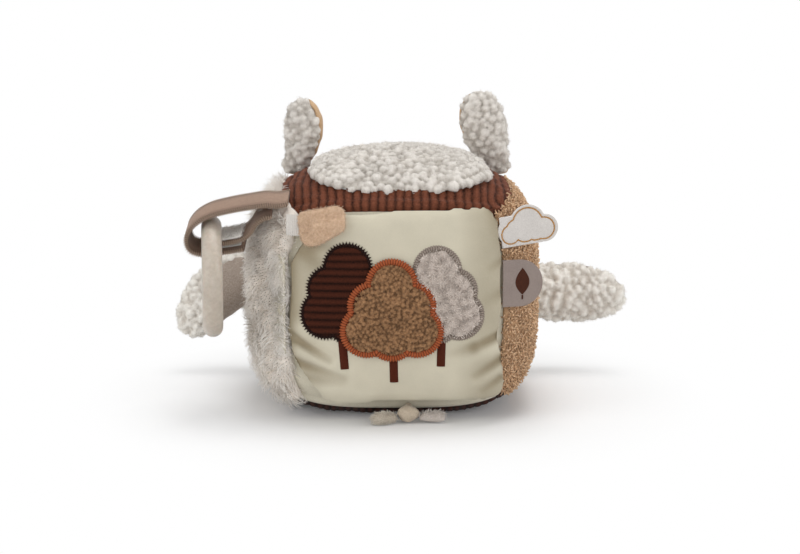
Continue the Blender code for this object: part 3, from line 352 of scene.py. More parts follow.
# Left side: long shaggy plush.
# A knitted backing carries polyester hairs, 5 to 8 mm long, in locks about 10 mm apart. They fall with gravity and
# spread over the seams.
def sow(piece, spacing, seed, chosen=None):
    """Places spread evenly over a piece's faces, with the way that each faces."""
    mesh = piece.data
    mesh.calc_loop_triangles()
    corners = np.empty(len(mesh.loop_triangles) * 3, np.int32)
    mesh.loop_triangles.foreach_get("vertices", corners)
    corners = corners.reshape(-1, 3)
    points, facing = points_of(piece), normals_of(piece)
    a, b, c = (points[corners[:, i]] for i in range(3))
    area = np.linalg.norm(np.cross(b - a, c - a), axis=1) / 2
    if chosen is not None:
        area = area * chosen((a + b + c) / 3, facing[corners].mean(1))
    dice = np.random.default_rng(seed)
    picked = dice.choice(len(area), int(area.sum() / spacing**2 * 4), p=area / area.sum())
    share = dice.dirichlet((1, 1, 1), len(picked))[:, :, None]
    places = (points[corners[picked]] * share).sum(1)
    ways = (facing[corners[picked]] * share).sum(1)
    ways /= np.linalg.norm(ways, axis=1, keepdims=True) + 1e-9
    cells, kept = {}, []
    keys = np.floor(places / spacing).astype(int)
    near = [(i, j, k) for i in (-1, 0, 1) for j in (-1, 0, 1) for k in (-1, 0, 1)]
    for index, (x, y, z) in enumerate(keys.tolist()):
        others = [o for i, j, k in near for o in cells.get((x + i, y + j, z + k), ())]
        if not others or (((places[others] - places[index]) ** 2).sum(1) > spacing**2 * 0.7).all():
            cells.setdefault((x, y, z), []).append(index)
            kept.append(index)
    return places[kept], ways[kept]


YARN_SIDES = 3


def yarns(roots, ways, aim, length, radius, start, bend, steps, tip):
    """Hairs or loops of yarn: thin tubes that leave the cloth at angle start and bend by bend, towards aim."""
    count, sides = len(roots), YARN_SIDES
    aside = aim - ways * (aim * ways).sum(1, keepdims=True)
    aside /= np.linalg.norm(aside, axis=1, keepdims=True) + 1e-9
    turn = start[:, None] + bend[:, None] * np.linspace(0, 1, steps + 1)[None]
    heading = np.cos(turn)[..., None] * ways[:, None] + np.sin(turn)[..., None] * aside[:, None]
    strides = heading[:, :-1] * (length / steps)[:, None, None]
    line = np.concatenate([roots[:, None], roots[:, None] + np.cumsum(strides, 1)], 1)
    binormal = np.cross(ways, aside)[:, None]
    other = np.cross(heading, binormal)
    share = np.linspace(0, 1, steps + 1)
    width = radius[:, None] * ((1 - share) * (1 - tip) + tip)[None]
    rings = []
    for k in range(sides):
        angle = 2 * math.pi * k / sides
        rings.append(line + width[..., None] * (math.cos(angle) * binormal + math.sin(angle) * other))
    points = np.stack(rings, 2).reshape(-1, 3)
    number = np.arange(count * (steps + 1) * sides).reshape(count, steps + 1, sides)
    after = np.roll(number, -1, 2)
    walls = np.stack([number[:, :-1], after[:, :-1], after[:, 1:], number[:, 1:]], -1).reshape(-1, 4)
    ends = np.concatenate([number[:, 0, ::-1], number[:, -1]])
    along = np.repeat(np.broadcast_to(share, (count, steps + 1)).reshape(-1), sides)
    return points, walls.tolist() + ends.tolist(), along


def pile_of(dice, roots, ways, aim, length, radius, start, bend, steps, tip):
    """Yarns whose length and radius, in mm, start and bend are drawn evenly between two ends."""
    length, radius, start, bend = (dice.uniform(*ends, len(roots)) for ends in (length, radius, start, bend))
    return yarns(roots, ways, aim, length * MM, radius * MM, start, bend, steps, tip)


def for_each(shade, steps):
    """Each yarn's own shade, for all its points."""
    return np.repeat(shade, (steps + 1) * YARN_SIDES)


def with_pile(name, cloth, parts, low=0.15):
    """One piece of a cloth and the pile that stands on it."""
    points = [points_of(cloth)]
    faces = [list(face.vertices) for face in cloth.data.polygons]
    # the cloth under the pile takes tone low, which paints shade on it
    tone = [np.zeros(len(points[0])) + low]
    for more, walls, shade in parts:
        start = sum(len(p) for p in points)
        faces += [[start + i for i in wall] for wall in walls]
        points.append(more)
        tone.append(shade)
    bpy.data.objects.remove(cloth)
    return made_of(name, np.concatenate(points), faces, np.concatenate(tone))


def search_tree(places):
    """Places in a tree that finds the nearest ones."""
    near = KDTree(len(places))
    for i, place in enumerate(places):
        near.insert(place, i)
    near.balance()
    return near


def lumps(places, hearts, size):
    """How far each place stands on a lump, 1 at its heart and 0 in the hollows, and which lump is nearest."""
    near = search_tree(hearts)
    found = [near.find(place) for place in places]
    rise = np.clip(1 - (np.array([gap for _, _, gap in found]) / (0.66 * size)) ** 2, 0, 1)
    return rise, np.array([i for _, i, _ in found])


def bunch(piece, size, height, seed, chosen):
    """Raise a cloth into soft lumps about size apart, and give back where their tops are."""
    hearts, _ = sow(piece, size, seed, chosen)
    points, ways = points_of(piece), normals_of(piece)
    move_points(piece, points + ways * (lumps(points, hearts, size)[0] * height)[:, None])
    return hearts


def outward(place, way):
    """Only the faces that look away from the block's middle."""
    return (way * (place - MIDDLE)).sum(1) > 0


def bare_of_corduroy(place, way):
    """The plush keeps off the corduroy's corner and out from behind the page."""
    corner = (place[:, 0] > -65 * MM) & (place[:, 2] > 114 * MM)
    behind = (place[:, 0] > -57.5 * MM) & (np.abs(place[:, 2] - 66 * MM) < 28 * MM)
    return outward(place, way) & ~corner & ~behind


def facing_out(place, way):
    """The strip's front and its outer side."""
    return (way[:, 1] < -0.2) | (way[:, 0] < -0.3)


def off_floor(piece, height):
    """Press what would go through the floor flat on it."""
    points = points_of(piece)
    points[:, 2] = np.maximum(points[:, 2], height)
    move_points(piece, points)


LOCK, LOCK_HEIGHT, HAIR = 10 * MM, 3.2 * MM, (5.0, 8.5)
dice = np.random.default_rng(11)
base = panel("plush_backing", "left", 130, 120, 2.0, us=(-1.05, 1.2), vs=(-1.12, 1.0))
locks = bunch(base, LOCK, LOCK_HEIGHT, 6, outward)
roots, ways = sow(base, 1.4 * MM, 5, bare_of_corduroy)
# the locks at the front fall over the narrow strip that joins the page
strip = copy_of("seam_strip", "flap_spine")
more, facing = sow(strip, 0.9 * MM, 13, facing_out)
bpy.data.objects.remove(strip)
roots, ways = np.concatenate([roots, more]), np.concatenate([ways, facing])
on_strip = np.arange(len(roots)) >= len(roots) - len(more)
stand, nearest = lumps(roots, locks, LOCK)
swirl = dice.normal(0, 0.9, locks.shape) + (-0.2, -0.2, -0.9)
aim = swirl[nearest] - (roots - locks[nearest]) / (LOCK / 2) + dice.normal(0, 0.3, roots.shape)
# at the lower front corner they are combed over the end of the bottom seam
aim[(roots[:, 0] > -66 * MM) & (roots[:, 2] < 30 * MM) & (roots[:, 1] < -48 * MM)] += (2.2, -0.3, -0.9)
aim[on_strip] += (1.6, -0.9, -0.5)
# hairs are shorter near the floor, on the strip, over the front seam and between the locks
shorter = np.clip((roots[:, 2] + 6 * MM) / (16 * MM), 0.45, 1)
shorter *= np.where(on_strip, 0.62, np.where(roots[:, 1] < -62.5 * MM, 0.7, 1)) * (0.75 + 0.25 * stand)
length = (HAIR[0] * shorter, HAIR[1] * shorter)
hairs, walls, along = pile_of(dice, roots, ways, aim, length, (0.2, 0.36), (0.3, 0.8), (0.5, 1.6), 4, 0.2)
# each hair's tone varies at random and is paler on the strip; shade is painted between the locks and towards the roots
shade = dice.uniform(-0.05, 0.2, len(roots)) + 0.5 * (stand - 0.5) + np.where(on_strip, 0.2, 0)
plush = with_pile("plush_left", base, [(hairs, walls, np.clip(along * 0.5 + 0.5 + for_each(shade, 4), 0, 1))], 0.3)
off_floor(plush, 0.5 * MM)
# polyester plush: near-white hair tips with a soft shine, over roots where grey shade is painted
grey_plush = finish_of("shaggy grey-white plush", "#e2d5c7", "#fffbf5", 0.8, 0.1, 0.9, 0.35, 16)
dress(plush, grey_plush, "grey_plush", ["panel_left"], "block")


# Right side: caramel teddy fleece.
# A knitted backing with short loops of curled polyester yarn, 1.5 mm apart, which bunch in nubs and hide the backing.
def curled(roots, ways, seed, size, thick, turn, stand=0.5, aim=None):
    """Curled loops of yarn, each bent its own way; light is painted on each loop's crest and on those that stand on a
    lump.
    """
    dice = np.random.default_rng(seed)
    steps = 3
    aim = dice.normal(0, 1, roots.shape) + (0 if aim is None else aim)
    loops, walls, _ = pile_of(
        dice, roots - ways * 0.2 * MM, ways, aim, (0.8 * size, 1.25 * size), (0.8 * thick, 1.2 * thick), (-0.7, 0.1),
        (0.75 * turn, 1.25 * turn), steps, 0.75
    )
    shade = dice.uniform(-0.15, 0.15, len(roots)) + 0.75 * (stand - 0.5)
    bow = np.tile(np.repeat(np.sin(np.linspace(0.15, 2.6, steps + 1)), YARN_SIDES), len(roots))
    return loops, walls, np.clip(bow * 0.4 + for_each(shade, steps) + 0.45, 0, 1)


NUB, NUB_HEIGHT, LABEL_HEIGHT = 3 * MM, 1.2 * MM, 78.5 * MM
base = panel("teddy_backing", "right", 170, 160, 0.9, us=(-1.2, 1.0))
nubs = bunch(base, NUB, NUB_HEIGHT, 14, outward)
roots, ways = sow(base, 1.5 * MM, 7, outward)
stand, nearest = lumps(roots, nubs, NUB)
# the loops are pressed down where the round-ended label lies back on them
pressed = (np.abs(roots[:, 2] - LABEL_HEIGHT) < 15 * MM) & (roots[:, 1] < -46 * MM)
loops = curled(roots, ways, 8, np.where(pressed, 1.5, 2.6), 0.5, 3, stand, (roots - nubs[nearest]) / (0.8 * MM))
teddy = with_pile("teddy_right", base, [loops], 0.3)
off_floor(teddy, 0.5 * MM)
# teddy yarn: light is painted where a loop turns up, and shade in a darker brown between the loops
caramel = finish_of("caramel teddy fleece", "#7d5637", "#f6cfa6", 0.5, 0.2, 0.9, 0.2, 14)
dress(teddy, caramel, "caramel_teddy", ["panel_right"], "block")


# Page on the front: a padded double layer of cream velour.
# Two layers are sewn and turned round a rustling film, and a narrow strip of the same cloth joins the page to the
# block's left front seam. It is pulled into soft folds at its lower corners and under the tab.
PAGE_MIDDLE = np.array((0, 67)) * MM
# its outline, x and z in mm: the left corners are drawn back, and the right edge is nipped in over the lower folds
PAGE_CORNERS = (
    (-57, 38), (-59, 52), (-58.5, 66), (-58, 92), (-51, 101), (-45, 115), (-27, 117.5), (2, 119), (35, 120.3),
    (50, 120.8), (56, 114), (58, 92), (58.5, 62), (56, 51), (58.5, 36), (60.5, 23), (58, 14.5), (46, 12.4), (24, 12.2),
    (-12, 12.0), (-24, 10.4), (-34, 10.4), (-40, 14), (-49, 25)
)
PAGE_BEND, PAGE_BACK, PAGE_FRONT = 4 * MM, 1.3 * MM, 5 * MM
# the page spans a wider and higher curve than the block's front, so it lies flatter
PAGE_SPAN, PAGE_RISE = 87.5 * MM, 77.5 * MM


def page_skin(x, z, depth):
    """Places at a depth over the block's front, on the page's own flatter curve."""
    across = np.abs(x / PAGE_SPAN) ** SQUARENESS
    upright = np.abs((z - MIDDLE[2]) / PAGE_RISE) ** SQUARENESS
    bulge = np.clip(1 - across - upright, 0, 1) ** (1 / SQUARENESS)
    return np.stack([x, -(HALF[1] + depth) * bulge, z], -1)


def rounded(corners, radius, steps=6):
    """A closed outline through corners, each turned by a soft bend."""
    outline = []
    for i, corner in enumerate(corners):
        before, after = corners[i - 1] - corner, corners[(i + 1) % len(corners)] - corner
        first, last = np.linalg.norm(before), np.linalg.norm(after)
        start = corner + before / first * min(radius, first / 2)
        end = corner + after / last * min(radius, last / 2)
        for t in np.linspace(0, 1, steps + 1):
            outline.append(start * (1 - t) ** 2 + corner * 2 * t * (1 - t) + end * t**2)
    return np.array(outline)


def evenly(line, spacing, closed=True):
    """Points the same distance apart along a line."""
    ring = np.concatenate([line, line[:1]]) if closed else line
    run = np.concatenate([[0], np.cumsum(np.linalg.norm(np.diff(ring, axis=0), axis=1))])
    count = max(8, round(run[-1] / spacing))
    places = np.linspace(0, run[-1], count, endpoint=False) if closed else np.linspace(0, run[-1], count + 1)
    return np.stack([np.interp(places, run, ring[:, i]) for i in range(ring.shape[1])], 1)


def face_out(piece):
    """Turn every face of a closed piece to look outward."""
    only(piece)
    bpy.ops.object.mode_set(mode="EDIT")
    bpy.ops.mesh.select_all(action="SELECT")
    bpy.ops.mesh.normals_make_consistent(inside=False)
    bpy.ops.object.mode_set(mode="OBJECT")
    return piece


def pad(name, outline, skin, low, high, rings, crown=6, back_rings=1, relief=None):
    """A pad within an outline: its back lies at depth low, its front rises from the rim to depth high."""
    count, centre = len(outline), outline.mean(0)
    points, tone = [], []
    middle = (low + high) / 2 if back_rings > 1 else low
    front_shares = np.sin(np.linspace(0, math.pi / 2, rings + 1))[1:]
    back_shares = np.linspace(0, 1, back_rings + 1)[:-1]
    for shares, depth, more in ((front_shares, high, relief), (back_shares, low, None)):
        for share in shares:
            flat = centre + (outline - centre) * share if share else centre[None]
            rise = (1 - share**crown) ** 0.5
            height = np.full(len(flat), middle + (depth - middle) * rise)
            shade = np.ones(len(flat))
            if more:
                swelling, shade = more(flat[:, 0], flat[:, 1])
                height = height + swelling * rise
            points.append(skin(flat[:, 0], flat[:, 1], height))
            tone.append(shade)
    start = np.cumsum([0] + [len(p) for p in points])
    loops = [np.arange(a, b) for a, b in zip(start, start[1:])]
    faces = []

    def bridge(inner, outer, flip):
        for i in range(count):
            j = (i + 1) % count
            quad = (inner[i], outer[i], outer[j], inner[j]) if len(inner) > 1 else (inner[0], outer[i], outer[j])
            faces.append(quad[::-1] if flip else quad)

    spot = [np.array([c]) for c in centre]
    points.append(skin(*spot, np.array([high + (relief(*spot)[0][0] if relief else 0)])))
    tone.append(np.ones(1))
    front = [[start[-1]]] + loops[:rings]
    back = loops[rings:] + [loops[rings - 1]]
    for inner, outer in zip(front, front[1:]):
        bridge(inner, outer, False)
    for inner, outer in zip(back, back[1:]):
        bridge(inner, outer, True)
    return face_out(made_of(name, np.concatenate(points), faces, np.concatenate(tone)))


FILLING_STEPS = 20


def stuff(piece, voxel, pressure, most, smooth=2):
    """Fill a sewn pad: remesh it, blow it up as cloth, and let no point move further than most."""
    change(piece, "REMESH", mode="VOXEL", voxel_size=voxel)
    before = points_of(piece)
    cloth = piece.modifiers.new("filling", "CLOTH")
    cloth.settings.use_pressure = True
    cloth.settings.uniform_pressure_force = pressure
    cloth.settings.effector_weights.gravity = 0
    cloth.settings.quality = 5
    cloth.point_cache.frame_start, cloth.point_cache.frame_end = 1, FILLING_STEPS
    for step in range(1, FILLING_STEPS + 1):
        scene.frame_set(step)
    shown = piece.evaluated_get(bpy.context.evaluated_depsgraph_get())
    flat = np.empty(len(before) * 3, np.float32)
    shown.data.vertices.foreach_get("co", flat)
    moved = flat.reshape(-1, 3) - before
    far = np.linalg.norm(moved, axis=1, keepdims=True)
    piece.modifiers.remove(cloth)
    scene.frame_set(1)
    move_points(piece, before + moved * np.minimum(1, most / (far + 1e-9)))
    change(piece, "SMOOTH", factor=0.5, iterations=smooth)
    change(piece, "SUBSURF", levels=1, render_levels=1)
    piece.data.shade_smooth()


outline = evenly(rounded(np.array(PAGE_CORNERS) * MM, PAGE_BEND), 1.6 * MM)
page = pad("page_cover", outline, page_skin, PAGE_BACK, PAGE_FRONT, 30, 14, 24)
stuff(page, 1.2 * MM, 1.5, 1.2 * MM, 5)
# folds, from x, z to x, z, with their width and depth, in mm; a depth below 0 stands out
FOLDS = (
    (-57, 50, -36, 37, 2.2, 4.0), (-56, 36, -28, 27, 2.6, 2.6), (-52, 26, -30, 24, 3.0, 1.8),
    (-52, 55, -34, 46, 4.5, -1.6), (-52, 42, -28, 31, 4.5, -1.8), (-46, 22, -18, 14, 6.0, -1.3),
    (58, 51, 42, 44, 2.4, 3.8), (42, 44, 30, 41, 3.0, 1.8), (58, 37, 44, 28, 2.6, 2.8), (57, 26, 48, 19, 2.4, 2.0),
    (56, 44, 40, 37, 4.0, -1.6), (56, 31, 44, 24, 3.5, -1.2), (-59, 96, -58, 24, 5.0, 3.0),
    (-50, 98, -34, 84, 5.0, 2.2), (-44, 100, -20, 97, 3.5, 1.4), (52, 118, 58, 96, 3.5, 1.2),
    (59, 92, 52, 88, 2.6, 1.6), (58, 74, 50, 70, 3.5, 1.2),
)
# no fold goes down to the film
FOLD_MOST = 2.7 * MM
points, ways = points_of(page), normals_of(page)
shift = np.zeros(len(points))
for x0, z0, x1, z1, width, depth in FOLDS:
    start, run = np.array((x0, z0)) * MM, np.array((x1 - x0, z1 - z0)) * MM
    share = np.clip(((points[:, (0, 2)] - start) @ run) / (run @ run), 0, 1)
    aside = np.linalg.norm(points[:, (0, 2)] - start - share[:, None] * run, axis=1)
    shift += depth * MM * np.exp(-(aside / (width * MM)) ** 2) * (0.35 + 0.65 * (1 - share))
shift = np.where(shift > 0, FOLD_MOST * np.tanh(shift / FOLD_MOST), shift)
points[:, 1] += shift * np.clip(-ways[:, 1], 0, 1)
move_points(page, points)
# towards its sides the page turns away, and shade is painted there, as it is in the folds
TURN_START, TURN_RUN, SIDE_PAINTED_SHADE, FOLD_SHADE_DEPTH = 30 * MM, 20 * MM, 0.42, 3.6 * MM
turned = np.clip((np.abs(points[:, 0]) - TURN_START) / TURN_RUN, 0, 1)
give_tone(page, np.clip(0.9 - shift / FOLD_SHADE_DEPTH - SIDE_PAINTED_SHADE * turned**2 * (3 - 2 * turned), 0, 1))
# the same velour, whose deep colour is the shade painted in its folds and towards its sides
page_velour = finish_of("folded cream velour", "#94876f", "#d3ccb8", 0.5, 0.07, 0.95, 0.25, 18, fleck=0.12)
dress(page, page_velour, "cream_velour", ["flap_face", "flap_lining"], "flap")

# hit the page's front on a fine raster, so that what is sewn on it lies on its cloth
tree = BVHTree.FromObject(page, bpy.context.evaluated_depsgraph_get())
RASTER = 1 * MM
columns, rows = np.arange(-64, 65) * MM, np.arange(6, 128) * MM
front_y = np.empty((len(columns), len(rows)))
for i, x in enumerate(columns):
    for j, z in enumerate(rows):
        hit = tree.ray_cast(Vector((x, -0.2, z)), Vector((0, 1, 0)), 0.2)[0]
        front_y[i, j] = hit.y if hit else page_skin(x, z, 3 * MM)[1]


def on_page(x, z, depth):
    """Places at a depth over the page's cloth."""
    a = np.clip((x - columns[0]) / RASTER, 0, len(columns) - 1.001)
    b = np.clip((z - rows[0]) / RASTER, 0, len(rows) - 1.001)
    i, j = a.astype(int), b.astype(int)
    a, b = a - i, b - j
    lower = front_y[i, j] * (1 - a) + front_y[i + 1, j] * a
    upper = front_y[i, j + 1] * (1 - a) + front_y[i + 1, j + 1] * a
    return np.stack([x, lower * (1 - b) + upper * b - depth, z], -1)


# clear polyester film, crumpled between the layers, which rustles; it stays clear of the page's seams
FILM_SHARE, FILM_DEPTHS, FILM_FLAT = 0.88, (1.7 * MM, 2.1 * MM), (0.104, 0.096)


def crumple(x, z):
    """The film's small waves, 22 mm long and 0.1 mm high."""
    return uneven(x / MM, z / MM, 22, 3) * 0.1 * MM, np.ones(len(x))


film_cloth = finish_of("clear polyester film", "#d8dcde", "#eef1f3", 4, 0.3, 0.25, toned=False, gloss=0.5)
edge = PAGE_MIDDLE + (outline - PAGE_MIDDLE) * FILM_SHARE
film = pad("rustling_film", edge, page_skin, *FILM_DEPTHS, 20, 30, 18, crumple)
dress(film, film_cloth, "film", ["crinkle_film"], "flap")
area = 0.5 * abs((edge[:, 0] * np.roll(edge[:, 1], -1) - np.roll(edge[:, 0], -1) * edge[:, 1]).sum())

spine = copy_of("page_spine", "flap_spine")
change(spine, "REMESH", mode="VOXEL", voxel_size=0.9 * MM)
change(spine, "SMOOTH", factor=0.5, iterations=4)
dress(spine, cream_velour, "cream_velour", ["flap_spine"], "block")


# Three trees on the page: appliqué crowns with sewn edges and satin-stitched trunks.
# Left of corduroy with a sharp-toothed dark edge, middle of teddy with a rust satin edge over both others, right of
# short plush with a grey satin edge. The trunks are bars of shiny thread laid side by side.
LOBES = (
    (0.00, 0.51, 0.49), (-0.38, 0.08, 0.48), (0.38, 0.08, 0.48), (-0.50, -0.42, 0.50), (0.50, -0.42, 0.50),
    (0.00, -0.52, 0.48)
)
CROWN_TURNS = 720


def crown(centre, half, inset=0.0, lobes=LOBES):
    """The outline of a tree's crown: overlapping circles, seen from their middle."""
    turns = np.linspace(0, 2 * math.pi, CROWN_TURNS, endpoint=False)
    ray = np.stack([np.cos(turns), np.sin(turns)], 1)
    reach = np.zeros(CROWN_TURNS)
    size = sum(half) / 2
    for x, z, radius in lobes:
        lobe = np.array((x * half[0], z * half[1]))
        along = ray @ lobe
        miss = (radius * size) ** 2 - (lobe @ lobe - along**2)
        reach = np.maximum(reach, np.where(miss > 0, along + np.sqrt(np.maximum(miss, 0)), 0))
    return (np.array(centre) + ray * (reach - inset)[:, None]) * MM


def headings(line, closed):
    """Which way a line runs at each of its points."""
    ahead = np.roll(line, -1, 0) - np.roll(line, 1, 0)
    if not closed:
        ahead[0], ahead[-1] = line[1] - line[0], line[-1] - line[-2]
    return ahead / np.linalg.norm(ahead, axis=1, keepdims=True)


def tube_of(name, loops, tone, closed=False):
    """Skin lines that run side by side round a tube: either it is a ring, or its two ends are shut."""
    points = np.stack(loops, 1).reshape(-1, 3)
    number = np.arange(len(points)).reshape(-1, len(loops))
    number = np.concatenate([number, number[:1]]) if closed else number
    after = np.roll(number, -1, 1)
    faces = np.stack([number[:-1], after[:-1], after[1:], number[1:]], -1).reshape(-1, 4).tolist()
    if not closed:
        faces += [number[0, ::-1].tolist(), number[-1].tolist()]
    return face_out(made_of(name, points, faces, tone))


STITCH_FOOT = 0.4 * MM


def satin(name, line, skin, width, height, pitch, jag, closed=True, steps=4, keen=0.6, pointed=False):
    """A row of close stitches across a line, with the dips between them; keen is how deep and sharp they are."""
    if closed:
        around = np.linalg.norm(np.diff(np.concatenate([line, line[:1]]), axis=0), axis=1).sum()
        line = evenly(line, around / (steps * round(around / pitch)))
    else:
        line = evenly(line, pitch / steps, False)
    ahead = headings(line, closed)
    out = np.stack([ahead[:, 1], -ahead[:, 0]], 1)
    count = np.arange(len(line))
    wave = (1 - np.abs(count % steps * 2 / steps - 1) if pointed else np.abs(np.sin(math.pi * count / steps))) ** keen
    loops, tone = [], []
    for share in (-1, -0.85, -0.5, 0, 0.5, 0.85, 1):
        reach = width / 2 * share + jag * (wave - 0.5) * (share if abs(share) > 0.6 else 0)
        place = line + out * reach[:, None]
        rise = height * (1 - abs(share) ** 2.5) * (0.45 + 0.55 * wave)
        loops.append(skin(place[:, 0], place[:, 1], rise))
        # light is painted along each stitch's crest and shade in the dips between
        tone.append(0.15 + 0.85 * wave * (1 - 0.3 * abs(share)))
    # the stitches' feet sink into the cloth, where shade is painted darkest
    for share in (0.6, -0.6):
        place = line + out * width / 2 * share
        loops.append(skin(place[:, 0], place[:, 1], np.full(len(line), -STITCH_FOOT)))
        tone.append(np.zeros(len(line)))
    return tube_of(name, loops, np.stack(tone, 1).reshape(-1), closed)


CROWN_WALE = 4 * MM


def cord_ribs(x, z):
    """The wales of the left crown, which lie level, and their tone, which paints shade in the grooves."""
    rib = np.abs(np.sin(math.pi * z / CROWN_WALE)) ** 0.7
    return rib * WALE_HEIGHT, np.clip(rib * 1.6 - 0.6, 0, 1)


def swell(points, body, chosen, width, seed):
    """How high knobs of one size stand, each round and of its own radius, where they run into each other."""
    dice = np.random.default_rng(seed)
    hearts, _ = sow(body, width * 0.8 * MM, seed, chosen)
    radius = width / 2 * dice.uniform(0.75, 1.25, len(hearts)) * MM
    near = search_tree(hearts)
    high = [max(radius[k] ** 2 - gap**2 for _, k, gap in near.find_n(point, 4)) for point in points]
    return np.sqrt(np.clip(high, 0, None))


def knobbly(name, body, chosen, big, small, voxel, seed, fuzz=1.25):
    """Raise a pad's cloth into large knobs that carry small ones, with short fuzz over them; sizes are in mm."""
    change(body, "REMESH", mode="VOXEL", voxel_size=voxel * MM)
    points, ways = points_of(body), normals_of(body)
    large, fine = (swell(points, body, chosen, width, seed + round(width * 10)) for width in (big, small))
    rise = large * 0.75 + fine * 0.5
    move_points(body, points + ways * rise[:, None])
    change(body, "SMOOTH", factor=0.5, iterations=1)
    # shade is painted in the hollows between the knobs; the fuzz takes the shade under it and is a little paler at its
    # tips
    shade = np.clip(0.2 + 0.8 * rise / (big * 0.55 * MM), 0, 1)
    give_tone(body, shade)
    roots, ways = sow(body, fuzz * MM, seed + 3, chosen)
    under = lumps(roots, points_of(body), MM)[1]
    dice = np.random.default_rng(seed + 4)
    aim = dice.normal(0, 1, roots.shape)
    hairs, walls, along = pile_of(dice, roots, ways, aim, (0.8, 1.9), (0.11, 0.2), (0.2, 1.1), (0.8, 2.4), 3, 0.4)
    tone = for_each(shade[under] + dice.uniform(-0.1, 0.1, len(roots)), 3) + 0.15 * along
    return with_pile(name, body, [(hairs, walls, np.clip(tone, 0, 1))], shade)


# each crown's middle and half size, in mm; the middle one lies a layer higher, on the edges of the other two
LEFT, MIDDLE_CROWN, RIGHT = ((-26, 74.5), (24.5, 28)), ((-2, 65.5), (28, 28.5)), ((22.5, 73.5), (25, 28))
LAYER = 1.6 * MM
left = pad("crown_cord", evenly(crown(*LEFT, 1.2), 0.8 * MM), on_page, -0.3 * MM, 0.9 * MM, 70, 10, relief=cord_ribs)
# needlecord: brown wales, with shade painted almost black in their grooves
brown_cord = finish_of("dark brown needlecord", "#080201", "#4c2518", 0.7, 0.45, 0.98, 0.03, 8, fleck=0.5)
dress(left, brown_cord, "dark_brown_corduroy", ["crown_left"], "flap")
right = pad("crown_plush_base", evenly(crown(*RIGHT, 3.2), 1.2 * MM), on_page, -0.3 * MM, 1.1 * MM, 24, 10)


def shown_right(place, way):
    """The right tree's face, as far as the middle tree leaves it bare."""
    away = place[:, (0, 2)] / MM - MIDDLE_CROWN[0]
    rim = np.linalg.norm(crown(*MIDDLE_CROWN, 1.0) / MM - MIDDLE_CROWN[0], axis=1)
    turn = np.arctan2(away[:, 1], away[:, 0]) / (2 * math.pi) * CROWN_TURNS
    return (way[:, 1] < -0.3) & (np.linalg.norm(away, axis=1) > rim[turn.round().astype(int) % CROWN_TURNS])


BUNCH = 4.5 * MM
nubs = bunch(right, BUNCH, 1 * MM, 26, shown_right)
roots, ways = sow(right, 0.95 * MM, 21, shown_right)
stand, nearest = lumps(roots, nubs, BUNCH)
dice = np.random.default_rng(22)
aim = dice.normal(0, 0.6, roots.shape) + (roots - nubs[nearest]) / (1.6 * MM)
hairs, walls, along = pile_of(dice, roots, ways, aim, (1.5, 2.6), (0.2, 0.32), (0.2, 0.9), (0.2, 0.9), 3, 0.3)
# each hair's tone varies at random; shade is painted between the nubs and towards the roots
shade = 0.6 * (stand - 0.5) + dice.uniform(-0.15, 0.15, len(roots))
right = with_pile("crown_plush", right, [(hairs, walls, np.clip(0.35 + 0.5 * along + for_each(shade, 3), 0, 1))], 0.35)
# short plush: cream tips, over roots where beige-grey shade is painted
pale_plush = finish_of("short beige-grey plush", "#94847a", "#fbf0e6", 0.5, 0.1, 0.9, 0.25, 7)
dress(right, pale_plush, "beige_plush", ["crown_right"], "flap")


def over_page(x, z, depth):
    """Places at a depth over the middle tree's layer."""
    return on_page(x, z, depth + LAYER)


def its_face(place, way):
    """The middle crown's front."""
    return way[:, 1] < -0.3


middle = pad("crown_teddy_base", evenly(crown(*MIDDLE_CROWN, 3.6), 0.9 * MM), over_page, -1.8 * MM, 0.3 * MM, 34, 12)
middle = knobbly("crown_teddy", middle, its_face, 2.3, 1.4, 0.4, 25, 0.7)
# curled yarn: golden-brown knobs, with dark brown shade painted in the hollows
brown_teddy = finish_of("brown teddy fleece", "#2f1b0c", "#b88d66", 0.4, 0.15, 0.95, 0.1, 8)
dress(middle, brown_teddy, "caramel_teddy", ["crown_middle"], "flap")

# sewing threads: light is painted along each stitch's middle, and shade in the dip beside it
brown_thread = finish_of("dark brown polyester thread", "#0a0302", "#25100a", 0.2, 0.05, 0.8, 0.0, 6)
rust_thread = finish_of("rust rayon thread", "#4a1c0c", "#b9623a", 0.2, 0.05, 0.6, 0.0, 6)
grey_thread = finish_of("grey-brown polyester thread", "#4d4039", "#aa9d92", 0.2, 0.05, 0.8, 0.05, 6)
trunk_thread = finish_of(
    "red-brown rayon thread", "#2b0f06", "#5c2614", 0.15, 0.05, 0.75, 0.0, 6, stretch=(0.2, 1, 1)
)
# each edge's width, height, stitch pitch and jag in mm, and how keen its stitches are
for name, place, inset, skin, sizes, keen, pointed, thread_finish, slot, node in (
    ("border_rust", MIDDLE_CROWN, 1.8, over_page, (3.3, 1.4, 1.4, 0.9), 1.6, False, rust_thread, "rust_thread",
     "border_middle"),
    ("border_cord", LEFT, 0.9, on_page, (2.0, 1.3, 1.6, 2.2), 1, True, brown_thread, "brown_thread", "border_left"),
    ("border_grey", RIGHT, 1.7, on_page, (3.0, 1.1, 1.3, 0.7), 1.8, False, grey_thread, "grey_thread", "border_right"),
):
    edge = satin(name, crown(*place, inset), skin, *(size * MM for size in sizes), keen=keen, pointed=pointed)
    dress(edge, thread_finish, slot, [node], "flap")

# the trunks' tops and feet, x and z in mm
for name, node, top_place, foot_place in (
    ("trunk_stitches_left", "trunk_left", (-29.0, 50), (-27.6, 32.5)),
    ("trunk_stitches_middle", "trunk_middle", (-1.2, 40), (-0.8, 25)),
    ("trunk_stitches_right", "trunk_right", (25.0, 50), (24.6, 34)),
):
    line = np.array((top_place, foot_place)) * MM
    bar = satin(name, line, on_page, 4.6 * MM, 1.0 * MM, 0.7 * MM, 0.12 * MM, closed=False, steps=3)
    dress(bar, trunk_thread, "trunk_thread", [node], "flap")


